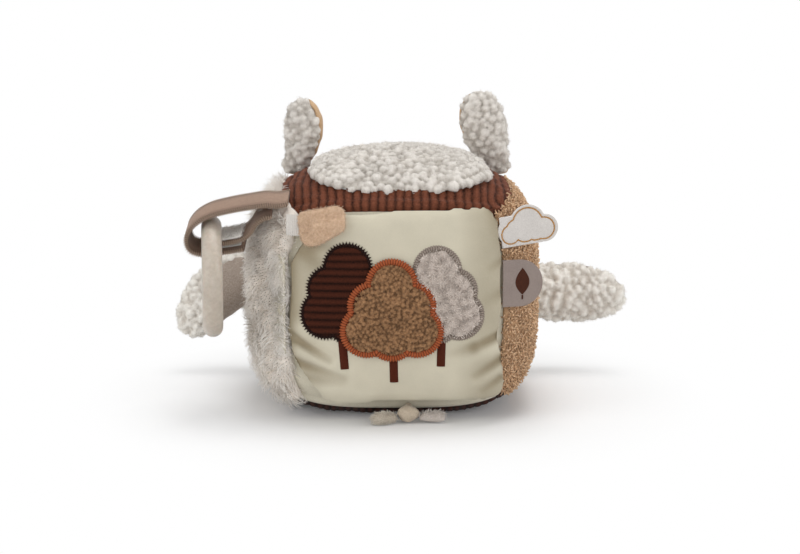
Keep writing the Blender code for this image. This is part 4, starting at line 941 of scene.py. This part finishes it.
# Peach tab with its ribbon.
# A thick little pad of long-pile velour hangs on a ribbed grosgrain ribbon that is sewn into the page's left edge.
TAB_PLACE = np.array((-39.5, 110.5)) * MM
TAB_CORNERS = ((-12.6, -6.0), (-14.0, 7.2), (8.0, 11.4), (12.4, 9.6), (13.4, -1.2), (-3.4, -11.0), (-9.6, -10.8))
TAB_BEND, TAB_BACK, TAB_FRONT = 3.2 * MM, 0.4 * MM, 5 * MM
tab_line = evenly(rounded(np.array(TAB_CORNERS) * MM, TAB_BEND) + TAB_PLACE, 0.8 * MM)
tab = pad("tab_base", tab_line, on_page, TAB_BACK, TAB_FRONT, 16, 7, 8)
stuff(tab, 1.2 * MM, 2, 0.6 * MM, 1)
roots, ways = sow(tab, 0.8 * MM, 31)
dice = np.random.default_rng(32)
aim = dice.normal(0, 0.6, roots.shape) + (0.5, 0, -1)
hairs, walls, along = pile_of(dice, roots, ways, aim, (0.9, 1.6), (0.14, 0.22), (0.3, 0.9), (0.3, 0.9), 3, 0.3)
tab = with_pile("tab_pad", tab, [(hairs, walls, 0.45 + 0.5 * along)], 0.6)
# long-pile velour: paler hair tips, with darker peach shade painted at their roots
peach = finish_of("peach long-pile velour", "#a98566", "#e9cdb1", 1.4, 0.1, 0.9, 0.25, 8, fleck=0.5)
dress(tab, peach, "peach_velour", ["tab"], "tab")

# the ribbon's middle and half size, x and z in mm, and the ribs that run up it
RIBBON_PLACE, RIBBON_HALF, RIBBON_LIFT, RIBBON_THICK = (-55.0, 110.5), (4.2, 5.5), 0.9, 0.5 * MM
RIB, RIB_HEIGHT = 1.1, 0.18
ribbon = grid("tab_ribbon_cloth", 40, 12)
flat = points_of(ribbon)
x, z = ((RIBBON_PLACE[i] + flat[:, i] * RIBBON_HALF[i]) * MM for i in (0, 1))
move_points(ribbon, on_page(x, z, (RIBBON_LIFT + RIB_HEIGHT * np.sin(x / MM * 2 * math.pi / RIB)) * MM))
change(ribbon, "SOLIDIFY", thickness=RIBBON_THICK, offset=0)
# grosgrain: matt and pale, with a weave drawn out along its ribs
ribbon_cloth = finish_of(
    "ribbed grosgrain ribbon", "#c2bbb4", "#ece8e2", 0.25, 0.08, 0.6, 0.2, toned=False, stretch=(0.3, 1, 1)
)
dress(ribbon, ribbon_cloth, "ribbed_ribbon", ["tab_ribbon"], "flap")


# Two labels at the page's free edge: a cloud and a round-ended label with a leaf.
# The cloud is white faux leather, edge-stitched with tan thread; the other is die-cut taupe cloth with a flat print.
SLANT = math.radians(18)
LABEL_CURL, LABEL_LONG = 1.2 * MM, 25 * MM


def label_skin(start, rise):
    """The flat that a label lies in: along it, up it, and off its face."""
    level = np.array((math.cos(SLANT), math.sin(SLANT), 0))
    run = level * math.cos(rise) + np.array((0, 0, math.sin(rise)))
    out = np.array((level[1], -level[0], 0))
    up = np.cross(out, run)

    def skin(along, aside, depth):
        curl = LABEL_CURL * (np.asarray(along) / LABEL_LONG) ** 2
        return np.array(start) + np.outer(along, run) + np.outer(aside, up) + np.outer(depth + curl, out)

    return skin


cloud_skin = label_skin(joints["cloud_flex"], math.radians(7))
# lobes along and up the label from CLOUD_HEART, with their radii, in mm: the label's own, and those of its thread
CLOUD_HEART = np.array((14.5, 0.0))
CLOUD_LOBES = ((7.0, 0.2, 8.4), (16.0, 3.0, 10.3), (25.2, -0.9, 7.6), (20.0, -1.5, 7.0))
THREAD_LOBES = (
    (5.6, -1.7, 5.1), (9.0, 0.6, 5.6), (15.8, 3.2, 8.4), (24.6, -0.9, 6.0), (14.0, -0.5, 6.4), (20.0, -1.2, 5.7)
)
BAND_TOP, BAND_END, CLOUD_FOOT, THREAD_FOOT = 8.6, 9.0, -8.5, -6.8
THREAD_LIFT, THREAD_DIP, THREAD_PULL = 0.35 * MM, 0.45 * MM, 0.8 * MM


def cloud_outline(lobes, foot, band=None):
    """Overlapping lobes over a straight foot; a band carries them to the page's edge."""
    line = crown((0, 0), (1, 1), 0, [(x - CLOUD_HEART[0], z - CLOUD_HEART[1], r) for x, z, r in lobes]) / MM
    if band:
        ray = line / np.linalg.norm(line, axis=1, keepdims=True)
        side = np.where(ray[:, 0] < 0, CLOUD_HEART[0], BAND_END) / np.abs(ray[:, 0]).clip(1e-6)
        height = np.where(ray[:, 1] > 0, band, -foot) / np.abs(ray[:, 1]).clip(1e-6)
        line = ray * np.maximum(np.linalg.norm(line, axis=1), np.minimum(side, height))[:, None]
    line[:, 1] = np.maximum(line[:, 1], foot)
    return (line + CLOUD_HEART) * MM


stitch_line = cloud_outline(THREAD_LOBES, THREAD_FOOT)


def sunk(x, z):
    """The face dips where its thread pulls it in."""
    near = np.sqrt(((np.stack([x, z], 1)[:, None] - stitch_line[None, ::6]) ** 2).sum(2)).min(1)
    return -THREAD_DIP * np.exp(-(near / THREAD_PULL) ** 2), np.ones(len(x))


def on_cloud(x, z, depth):
    """Places at a depth over the cloud's face, where its thread lies."""
    return cloud_skin(x, z, depth + THREAD_LIFT)


cloud_edge = cloud_outline(CLOUD_LOBES, CLOUD_FOOT, BAND_TOP)
cloud = pad("cloud_label", evenly(cloud_edge, 0.6 * MM), cloud_skin, -0.7 * MM, 0.8 * MM, 40, 40, 6, sunk)
# faux leather: smooth and even, with a low shine
white_leather = finish_of("white faux leather", "#c6c0bb", "#dbd6d1", 0.6, 0.06, 0.55, 0.1, 10, toned=False, gloss=0.4)
dress(cloud, white_leather, "white_leather_cloth", ["label_cloud"], "cloud")
stitches = satin("cloud_stitches", stitch_line, on_cloud, 0.85 * MM, 0.5 * MM, 1.9 * MM, 0.1 * MM, steps=6)
# polyester thread: tan, with a soft shine, and light painted along each stitch
tan_thread = finish_of("tan polyester thread", "#7d5228", "#c29257", 0.2, 0.05, 0.55, 0.05, 6)
dress(stitches, tan_thread, "tan_thread", ["cloud_stitching"], "cloud")

# the round-ended label's length up to its round end, and its half width, in mm
LEAF_LABEL, LEAF_LABEL_HALF = 10, 13
PRINT_PLACE, PRINT_DEPTHS = (11.2, 0.6), (0.45 * MM, 1.0 * MM)
leaf_skin = label_skin(joints["leaf_flex"], 0)
turns = np.radians(np.arange(-90, 91, 6))
end = np.stack([LEAF_LABEL + LEAF_LABEL_HALF * np.cos(turns), LEAF_LABEL_HALF * np.sin(turns)], 1)
line = np.concatenate([[(0, LEAF_LABEL_HALF), (0, -LEAF_LABEL_HALF)], end]) * MM
label = pad("leaf_label", evenly(line, 0.8 * MM), leaf_skin, -0.7 * MM, 0.7 * MM, 24, 40, 6)
# leathercloth: even and matt, with a fine grain
taupe_cloth = finish_of("taupe leathercloth", "#7f716a", "#998b84", 0.4, 0.05, 0.7, 0.15, 10, toned=False, gloss=0.4)
dress(label, taupe_cloth, "taupe_cloth", ["label_leaf"], "leaf")
# the leaf's sides bow out from its foot at z -7 mm to its tip at 8 mm
share = np.linspace(0, 1, 60)
wide = 4.6 * np.sin(math.pi * share) ** 0.9 * (1 - 0.25 * share)
leaf = np.concatenate([np.stack([wide, -7 + 15 * share], 1), np.stack([-wide, -7 + 15 * share], 1)[::-1][1:-1]])
stem = np.array(((-0.4, -9.6), (0.4, -9.6), (0.45, -7.0), (-0.45, -7.0)))
# flat print: darker than its cloth, and without a pile
print_brown = finish_of("dark brown print", "#2e160d", "#4f2a1b", 0.4, 0.04, 0.75, 0, 6, toned=False)
motif = pad("leaf_print", evenly((leaf + PRINT_PLACE) * MM, 0.5 * MM), leaf_skin, *PRINT_DEPTHS, 14, 30)
stalk = pad("leaf_stalk", evenly((stem + PRINT_PLACE) * MM, 0.3 * MM), leaf_skin, *PRINT_DEPTHS, 4, 30)
dress(motif, print_brown, "brown_print", ["leaf_motif"], "leaf")
dress(stalk, print_brown, "brown_print", body="leaf")


# Cap: a stuffed dome of curly sherpa on the top.
# The knitted backing carries knobs of tangled yarn, 3 to 5 mm across, with smaller ones and hollows between, where soft
# grey shade is painted.
cap_body = copy_of("cap_body", "cap_shell", "cap_filling")
stuff(cap_body, 4 * MM, 4, 2 * MM)
CAP_MIDDLE, CAP_HALF, CAP_SEAT = np.array((2, -2)) * MM, np.array((53, 52)) * MM, 114 * MM
# how far the front rim hangs forward and down, and how much lower the top lies, from a height on
HANG_FORWARD, HANG_DOWN, TOP_LOWER, TOP_START, TOP_RUN = 6.4 * MM, 6.5 * MM, 4.5 * MM, 122 * MM, 25 * MM


def settle(piece, inset):
    """Pull the cap in, fill its front corners and let its front rim hang a little over the corduroy."""
    points = points_of(piece) - normals_of(piece) * inset
    share = (points[:, :2] - CAP_MIDDLE) / CAP_HALF
    size = np.abs(share) + 1e-6
    square = (size**2.5).sum(1) ** 0.4 / (size**4).sum(1) ** 0.25
    squarer = 1 + (square - 1) * np.clip(-share[:, 1] / 0.4, 0, 1)
    hang = np.clip(-share[:, 1], 0, 1) ** 3 * (1 - 0.5 * size[:, 0].clip(0, 1) ** 3)
    points[:, :2] = CAP_MIDDLE + (points[:, :2] - CAP_MIDDLE) * squarer[:, None]
    points[:, 1] -= hang * HANG_FORWARD
    points[:, 2] -= hang * HANG_DOWN + TOP_LOWER * np.clip((points[:, 2] - TOP_START) / TOP_RUN, 0, 1)
    move_points(piece, points)


def cap_side(place, way):
    """The cap's outside, but not its flat seat."""
    return (way[:, 2] > -0.35) & (place[:, 2] > CAP_SEAT)


settle(cap_body, 2.0 * MM)
cap = knobbly("cap_sherpa", cap_body, cap_side, 5.0, 2.8, 0.75, 42)
# curly sherpa: cream knobs, with soft grey shade painted in the hollows
sherpa = finish_of("cream curly sherpa", "#a59c91", "#f2ede6", 0.6, 0.35, 0.95, 0.25, 20)
dress(cap, sherpa, "sherpa", ["cap_shell"], "block")
filling = copy_of("cap_fill", "cap_filling")
change(filling, "SUBSURF", levels=1, render_levels=1)
settle(filling, 2.5 * MM)
dress(filling, fibre, "fill", ["cap_filling"], "block")


# Ears and arms: stuffed limbs of the same sherpa, lined with short-pile velour.
# Each is sewn from two halves, turned, filled and caught in the block's seam.
LINING_THICK, KNOB_VOXEL = 1.4 * MM, 0.8
# short velour and plush: matt and even; the arms' sherpa is the cap's sherpa with light painted in, so it is whiter
ear_velour = finish_of("beige ear velour", "#b8926c", "#dfc09c", 0.6, 0.15, 0.95, 0.35, 10, toned=False)
arm_sherpa = finish_of("curly sherpa with painted light", "#cec4b8", "#fffcf5", 0.6, 0.35, 0.95, 0.25, 20)
arm_velour = finish_of("taupe-grey arm plush", "#8d7f74", "#b9ab9f", 0.7, 0.25, 0.95, 0.35, 10, toned=False)


def limb(name, joint, aims, edge, tip, bow, voxel, big, small, sherpa, finish, slot, seed):
    """One ear or arm: its sherpa body, and a lining on the faces that look along aims, at its root and at its tip."""
    body = copy_of(name + "_body", name + "_outer", name + "_lining")
    stuff(body, voxel, 3, 1.5 * MM)
    root = np.array(joints[joint])
    long = np.linalg.norm(tip)
    run = np.array(tip, float) / long
    points = points_of(body)
    share = np.clip(2 * (points - root) @ run / (long * MM), 0, 1)
    move_points(body, points + np.sin(math.pi / 2 * share)[:, None] * np.array(bow) * MM)

    def lined(place, way):
        """How squarely a spot looks the lining's way; the seam may turn between root and tip."""
        share = np.clip((place - root) @ run / (long * MM), 0, 1)[:, None]
        aim = np.array(aims[0]) * (1 - share) + np.array(aims[1]) * share
        return (way * aim).sum(1) / np.linalg.norm(aim, axis=1)

    def shown(place, way):
        """The sherpa half, down to the seam that holds it."""
        return (lined(place, way) < edge) & ((place - root) @ run > -1 * MM)

    lining = body.copy()
    lining.data = body.data.copy()
    scene.collection.objects.link(lining)
    lining.name = lining.data.name = name + "_lining_cloth"
    only(lining)
    bpy.ops.object.mode_set(mode="EDIT")
    bpy.ops.mesh.select_all(action="DESELECT")
    bpy.ops.object.mode_set(mode="OBJECT")
    middles = np.array([face.center[:] for face in lining.data.polygons])
    ways = np.array([face.normal[:] for face in lining.data.polygons])
    lining.data.polygons.foreach_set("select", lined(middles, ways) < edge)
    bpy.ops.object.mode_set(mode="EDIT")
    bpy.ops.mesh.delete(type="FACE")
    bpy.ops.object.mode_set(mode="OBJECT")
    change(lining, "SMOOTH", factor=0.5, iterations=3)
    change(lining, "SOLIDIFY", thickness=LINING_THICK, offset=0.6)
    lining.data.shade_smooth()
    outer = knobbly(name + "_sherpa", body, shown, big, small, KNOB_VOXEL, seed)
    start, end = root + run * 1 * MM, root + run * 13 * MM
    for piece, cloth, part, node in ((outer, sherpa, "sherpa", "_outer"), (lining, finish, slot, "_lining")):
        dress(piece, cloth, part, [name + node], None)
        tuple(start)
        tuple(end)
        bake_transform(piece)


# voxel, large and small knobs in mm, then the sherpa, and the lining's finish and slot
EAR = (3 * MM, 4.6, 2.6, sherpa, ear_velour, "ear_velour")
ARM = (3.5 * MM, 5.2, 3.0, arm_sherpa, arm_velour, "arm_plush")
for name, joint, aims, edge, tip, bow, make, seed in (
    ("ear_left", "ear_left_tip", ((0.5, 0.9, 0), (1, 0.35, 0)), 0.2, (4.8, -0.2, 42.5), (0, 0, 0), EAR, 51),
    ("ear_right", "ear_right_tip", ((-0.2, 1, 0), (-0.2, 1, 0)), 0.2, (-12.8, -0.2, 46.5), (-2.5, 0, 0), EAR, 53),
    ("arm_left", "arm_left_swing", ((0.3, -1.3, -0.2), (0.8, 0.7, 0.1)), 0.3, (-58.4, -5.6, -30.4), (0, 0, 0), ARM, 55),
    ("arm_right", "arm_right_swing", ((0, 1, 0), (0, 1, 0)), 0.3, (72.9, 0.1, -3.4), (0, 0, -3), ARM, 57),
):
    limb(name, joint, aims, edge, tip, bow, *make, seed)


# Strap: two bands of taupe velour, closed by hook and loop round the ring.
# Each band is folded velour with overlocked edges, sewn into the block's left top seam.
STRAP_ROOT, STRAP_REACH = np.array((-58.5, 123.2)), (56, 26.9)
STRAP_WIDTH, STRAP_THICK, STRAP_DEPTH, TILT = 24.4 * MM, 1.7 * MM, -53 * MM, math.radians(11)
# each band's middle line, in shares of the reach out and down from its seam
STRAP_LONG = (
    (0.00, 0.00), (0.107, 0.033), (0.232, 0.024), (0.393, 0.072), (0.571, 0.140), (0.768, 0.246), (0.911, 0.420),
    (0.991, 0.671), (0.969, 0.923), (0.866, 1.019), (0.732, 1.000), (0.571, 0.961), (0.429, 0.913)
)
STRAP_SHORT = (
    (0.161, 0.265), (0.232, 0.285), (0.312, 0.401), (0.366, 0.575), (0.429, 0.691), (0.536, 0.763), (0.661, 0.797)
)


def strap_line(shares):
    """A band's middle line in X and Z, as one soft curve."""
    knots = STRAP_ROOT - np.array(shares) * STRAP_REACH
    padded = np.concatenate([2 * knots[:1] - knots[1:2], knots, 2 * knots[-1:] - knots[-2:-1]])
    line = []
    for a, b, c, d in zip(padded, padded[1:], padded[2:], padded[3:]):
        for t in np.linspace(0, 1, 12, endpoint=False):
            line.append((2 * b + (c - a) * t + (2 * a - 5 * b + 4 * c - d) * t**2 + (3 * b - a - 3 * c + d) * t**3) / 2)
    return evenly(np.array(line + [knots[-1]]) * MM, 0.8 * MM, closed=False)


def off_line(line):
    """The way off a line at each of its points."""
    ahead = np.gradient(line, axis=0)
    ahead /= np.linalg.norm(ahead, axis=1, keepdims=True)
    return np.stack([ahead[:, 1], -ahead[:, 0]], 1)


def band_places(line, across, off):
    """Points across a band and off its middle line."""
    flat = line + off_line(line) * np.asarray(off).reshape(-1, 1)
    across = np.asarray(across) * np.ones(len(line))
    return np.stack([flat[:, 0], STRAP_DEPTH + across * math.cos(TILT), flat[:, 1] + across * math.sin(TILT)], 1)


def thread(name, line, radius, sides=4):
    """A single thread along a line in space."""
    ahead = headings(line, False)
    side = np.cross(ahead, (0.03, -1.0, 0.05))
    side /= np.linalg.norm(side, axis=1, keepdims=True) + 1e-9
    other = np.cross(ahead, side)
    turns = np.linspace(0, 2 * math.pi, sides, endpoint=False)
    loops = [line + radius * (math.cos(turn) * side + math.sin(turn) * other) for turn in turns]
    return tube_of(name, loops, np.full(len(line) * sides, 0.8))


def band(name, line, width, thick, puff=0.0):
    """A flat band with soft edges; puff is how much fuller its middle is."""
    loops, shades = [], []
    for side in (1, -1):
        for share in np.linspace(-1, 1, 17)[:: side]:
            full = thick / 2 * (1 - abs(share) ** 8) ** 0.5 + puff * (1 - share**2)
            loops.append(band_places(line, share * width / 2, side * full * np.ones(len(line))))
            # the tone paints shade under the overlock at each edge, and is darker along a stripe inside it
            shades.append(1 - 0.8 * float(abs(share) > 0.84) - 0.25 * float(0.6 < abs(share) < 0.8))
    piece = tube_of(name, loops, np.tile(shades, len(line)))
    change(piece, "WELD", merge_threshold=0.02 * MM)
    return piece


# the strap's velour: its pile stands in pale flecks over dark roots; its overlock thread is paler and smooth
taupe_velour = finish_of("taupe strap velour", "#35261d", "#a98d7a", 0.9, 0.2, 0.95, 0.15, 14, fleck=0.4)
overlock = finish_of("taupe overlock thread", "#6e5848", "#b9a28f", 0.2, 0.05, 0.8, 0.05, 6)
# the overlock thread winds round each edge, six points to a turn
EDGE_PLACE, EDGE_WIDE, EDGE_HIGH, EDGE_STEP, EDGE_THREAD = 11.3 * MM, 1.3 * MM, 1.25 * MM, 0.2 * MM, 0.3 * MM
for name, shares, puff in (("strap_long", STRAP_LONG, 0.3), ("strap_short", STRAP_SHORT, 0.2)):
    line = strap_line(shares)
    piece = band(name + "_velour", line, STRAP_WIDTH, STRAP_THICK, puff * MM)
    long = np.linalg.norm(np.diff(line, axis=0), axis=1).sum()
    dress(piece, taupe_velour, "taupe_velour", [name])
    start, end = (-58.5 * MM, -53 * MM, 123.2 * MM), (-68 * MM, -53 * MM, 121 * MM)
    pieces = [piece]
    for side, edge_name in ((-1, "_edge_front"), (1, "_edge_back")):
        fine = evenly(line, long / int(long / EDGE_STEP), closed=False)
        turn = np.arange(len(fine)) * 2 * math.pi / 6
        winding = band_places(fine, side * (EDGE_PLACE + EDGE_WIDE * np.cos(turn)), EDGE_HIGH * np.sin(turn))
        stitched = thread(name + edge_name, winding, EDGE_THREAD)
        dress(stitched, overlock, "taupe_velour")
        pieces.append(stitched)
    for piece in pieces:
        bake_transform(piece)
        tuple(start)
        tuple(end)

# hook-and-loop tape: the hooks are stiff and a little glossy, the loops soft and matt
hook_tape = finish_of("hook tape", "#cfccc6", "#efece6", 0.5, 0.4, 0.7, 0.1, toned=False)
loop_tape = finish_of("brushed loop tape", "#d2cec7", "#f2efe9", 0.6, 0.5, 0.9, 0.4)
TAPE_START, TAPE_LONG, TAPE_TOP = (STRAP_ROOT[0] - 0.446 * STRAP_REACH[0]) * MM, 13 * MM, (STRAP_ROOT[1] - 13.5) * MM
TAPE_WIDTH, TAPE_THICK, TAPE_OFF = 17 * MM, 0.7 * MM, 1.75 * MM
for name, node, shares, cloth, slot, seed in (
    ("hook_tape", "hook_patch", STRAP_LONG, hook_tape, "hook_tape", 61),
    ("loop_tape", "loop_patch", STRAP_SHORT, loop_tape, "loop_tape", 62),
):
    line = strap_line(shares)
    line = line[(line[:, 0] < TAPE_START) & (line[:, 0] > TAPE_START - TAPE_LONG) & (line[:, 1] < TAPE_TOP)]
    piece = band(name + "_base", line - off_line(line) * TAPE_OFF, TAPE_WIDTH, TAPE_THICK)
    if node == "loop_patch":
        roots, ways = sow(piece, 0.8 * MM, seed)
        piece = with_pile(name, piece, [curled(roots, ways, seed, 1.2, 0.14, 2.6)], 0.3)
    piece.name = piece.data.name = name
    dress(piece, cloth, slot, [node], "strap")

# a cream fuzzy strip lines the short band's upper face, inside the loop
FUZZ_START, FUZZ_END, FUZZ_WIDTH, FUZZ_THICK, FUZZ_OFF = -83 * MM, -96 * MM, 20 * MM, 1.2 * MM, 1.5 * MM
line = strap_line(STRAP_SHORT)
line = line[(line[:, 0] < FUZZ_START) & (line[:, 0] > FUZZ_END)]
piece = band("short_band_lining", line + off_line(line) * FUZZ_OFF, FUZZ_WIDTH, FUZZ_THICK)
roots, ways = sow(piece, 0.9 * MM, 63)
piece = with_pile("short_band_fuzz", piece, [curled(roots, ways, 64, 1.8, 0.2, 2.6)], 0.5)
# brushed lining: soft and matt; its cream is painted near-white, light painted against the shade inside the loop
cream_fuzz = finish_of("cream brushed lining", "#f1ebe2", "#fffdf9", 0.6, 0.3, 0.95, 0.4)
dress(piece, cream_fuzz, "loop_tape", body="strap")


# Teething ring: one solid ring of food-grade silicone.
# Moulded in one shot, satin and slightly translucent. It hangs a little turned, so that from the front it is seen
# edge-on.
RING_TURN, RING_RADIUS, RING_THICK = math.radians(5.76), 28 * MM, 5.6 * MM
low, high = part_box("ring")
bpy.ops.object.select_all(action="DESELECT")
bpy.ops.mesh.primitive_torus_add(
    location=(low + high) / 2, rotation=(0, math.pi / 2, RING_TURN), major_segments=96, minor_segments=32,
    major_radius=RING_RADIUS, minor_radius=RING_THICK
)
ring = bpy.context.active_object
ring.name = ring.data.name = "ring_silicone"
bpy.ops.object.transform_apply(location=True, rotation=True, scale=True)
ring.data.shade_smooth()
# silicone: even and satin, and light sinks a few millimetres into it
silicone = finish_of(
    "warm grey silicone", "#b7ab9c", "#c9beb0", 3, 0.02, 0.42, 0.15, 30, toned=False, gloss=0.5,
    others={"Subsurface Weight": 0.15, "Subsurface Scale": 3 * MM}
)
dress(ring, silicone, "ring_silicone", ["ring"], "ring")


# Knotted ribbon at the front bottom seam.
# A strip of two-sided cloth is knotted once; its ends lie on the floor, one shaggy and one fuzzy.
# woven ribbon, loose yarn and fleece: all matt; on the yarn and fleece shade is painted towards the roots, so the fibre
# tips are pale
ribbon_finish = finish_of("beige ribbon", "#a3937f", "#d6c8b4", 0.4, 0.1, 0.8, 0.3, 5, toned=False)
shaggy = finish_of("shaggy beige yarn", "#ab9d8a", "#f4ecde", 0.4, 0.2, 0.9, 0.3, 4)
fuzzy = finish_of("grey-mauve fleece", "#a99d94", "#f1e9e1", 0.5, 0.15, 0.9, 0.3, 5)
stem = copy_of("tag_stem_ribbon", "tag_stem")
change(stem, "SUBSURF", levels=2, render_levels=2)
dress(stem, ribbon_finish, "beige_ribbon", ["tag_stem"], "tag")
knot = copy_of("tag_knot_ribbon", "tag_knot")
change(knot, "SUBSURF", levels=3, render_levels=3)
points, ways = points_of(knot), normals_of(knot)
# the turns of the ribbon show as wide and fine grooves that wind round the knot
GROOVE_HEIGHT, WIDE_GROOVE, FINE_GROOVE = 0.35 * MM, 1.6 * MM, 1.1 * MM
across, behind, above = (points - points.mean(0)).T
spin = np.arctan2(above, behind)
groove = np.sin(spin * 2 + across / WIDE_GROOVE) + 0.5 * np.sin(spin * 5 - across / FINE_GROOVE)
move_points(knot, points + ways * (groove * GROOVE_HEIGHT)[:, None])
dress(knot, ribbon_finish, "beige_ribbon", ["tag_knot"], "tag")

# each end's seed, hair spacing, bare foot, fall, longest hair and thickness, in mm
for name, node, seed, spacing, low_edge, aim, longest, thick, cloth, slot in (
    ("tag_end_shaggy", "tag_end_left", 71, 0.75, 0.5, (-1.6, -0.6, -0.6), 3.0, 0.26, shaggy, "beige_cloth"),
    ("tag_end_fuzzy", "tag_end_right", 73, 0.9, 3.4, (0.9, -0.5, 1.2), 3.2, 0.2, fuzzy, "grey_mauve_cloth"),
):
    end = copy_of(name + "_base", node)
    change(end, "SUBSURF", levels=2, render_levels=2)
    roots, ways = sow(end, spacing * MM, seed, lambda place, way: place[:, 2] > low_edge * MM)
    dice = np.random.default_rng(seed + 1)
    strands, walls, along = pile_of(
        dice, roots, ways, dice.normal(0, 0.6, roots.shape) + aim, (0.4 * longest, longest),
        (0.7 * thick, 1.2 * thick), (0.5, 1.1), (-0.2, 0.8), 4, 0.4
    )
    shade = for_each(dice.uniform(0.3, 0.9, len(roots)), 4)
    end = with_pile(name, end, [(strands, walls, np.clip(shade + 0.2 * along, 0, 1))], 0.3)
    off_floor(end, 0.4 * MM)
    dress(end, cloth, slot, [node], "tag")


# Studio: a white paper floor, four soft boxes and the camera.
# The floor keeps the block's shadow close by and fades to pure white further out.
def seen_plainly(tree):
    """1 on a ray from the camera, from a shine or through something clear, else 0."""
    path = add(tree, "ShaderNodeLightPath").outputs
    either = {0: path["Is Camera Ray"], 1: path["Is Glossy Ray"]}
    seen = add(tree, "ShaderNodeMath", either, operation="MAXIMUM").outputs[0]
    return add(tree, "ShaderNodeMath", {0: seen, 1: path["Is Transmission Ray"]}, operation="MAXIMUM").outputs[0]


# from the middle out, in metres, the floor fades between these
FADE_START, FADE_END = 0.07, 0.19
bpy.ops.object.select_all(action="DESELECT")
bpy.ops.mesh.primitive_circle_add(vertices=96, radius=12, fill_type="NGON", location=(0, 0, 0))
floor = bpy.context.active_object
floor.name = "floor"
# white paper: matt, with a faint glow close by, and pure white where it fades
paper = bpy.data.materials.new("white paper floor")
paper.use_nodes = True
tree = paper.node_tree
tree.nodes.remove(tree.nodes["Principled BSDF"])
seen = seen_plainly(tree)
place = add(tree, "ShaderNodeTexCoord").outputs["Object"]
far = add(tree, "ShaderNodeVectorMath", {0: place}, operation="LENGTH").outputs["Value"]
fade = {"Value": far, "From Min": FADE_START, "From Max": FADE_END}
far = add(tree, "ShaderNodeMapRange", fade, interpolation_type="SMOOTHSTEP").outputs[0]
white = add(tree, "ShaderNodeEmission", {"Color": (1, 1, 1, 1), "Strength": 1.0}).outputs[0]
lit = add(tree, "ShaderNodeBsdfDiffuse", {"Color": (0.92, 0.92, 0.92, 1)}).outputs[0]
glow = add(tree, "ShaderNodeEmission", {"Color": (1, 1, 1, 1), "Strength": 0.05}).outputs[0]
near = add(tree, "ShaderNodeAddShader", {0: lit, 1: glow}).outputs[0]
shown = add(tree, "ShaderNodeMixShader", {0: far, 1: near, 2: white}).outputs[0]
dull = add(tree, "ShaderNodeBsdfDiffuse", {"Color": (0.8, 0.8, 0.8, 1)}).outputs[0]
both = add(tree, "ShaderNodeMixShader", {0: seen, 1: dull, 2: shown}).outputs[0]
tree.links.new(both, tree.nodes["Material Output"].inputs["Surface"])
floor.data.materials.append(paper)

world = bpy.data.worlds.new("studio")
scene.world = world
world.use_nodes = True
tree = world.node_tree
seen = seen_plainly(tree)
strength = add(tree, "ShaderNodeMapRange", {"Value": seen, "To Min": 0.3, "To Max": 1.0}).outputs[0]
tree.links.new(strength, tree.nodes["Background"].inputs["Strength"])
tree.nodes["Background"].inputs["Color"].default_value = (1, 1, 1, 1)

# soft boxes: each one's place and width in metres, and its power in watts
LIT_PLACE = Vector((0, 0, 0.07))
for name, place, size, power in (
    ("top_box", (0.12, 0.15, 1.25), 0.7, 7.5), ("front_box", (0.3, -1.4, 0.4), 0.8, 4.3),
    ("left_box", (-1.2, -0.7, 0.5), 0.8, 7.0), ("right_box", (1.2, -0.5, 0.5), 0.8, 4.6),
):
    light = bpy.data.lights.new(name, "AREA")
    light.shape, light.size, light.energy = "SQUARE", size, power
    holder = bpy.data.objects.new(name, light)
    holder.location = place
    holder.rotation_euler = (LIT_PLACE - Vector(place)).to_track_quat("-Z", "Y").to_euler()
    scene.collection.objects.link(holder)

CAMERA_PLACE, CAMERA_TILT, LENS, SENSOR = (2.4 * MM, -1079.3 * MM, 260.3 * MM), math.radians(80), 85, 36
camera = bpy.data.objects.new("camera", bpy.data.cameras.new("camera"))
camera.data.lens, camera.data.sensor_width = LENS, SENSOR
camera.location, camera.rotation_euler = CAMERA_PLACE, (CAMERA_TILT, 0, 0)
scene.collection.objects.link(camera)
scene.camera = camera
scene.view_settings.view_transform = "Standard"
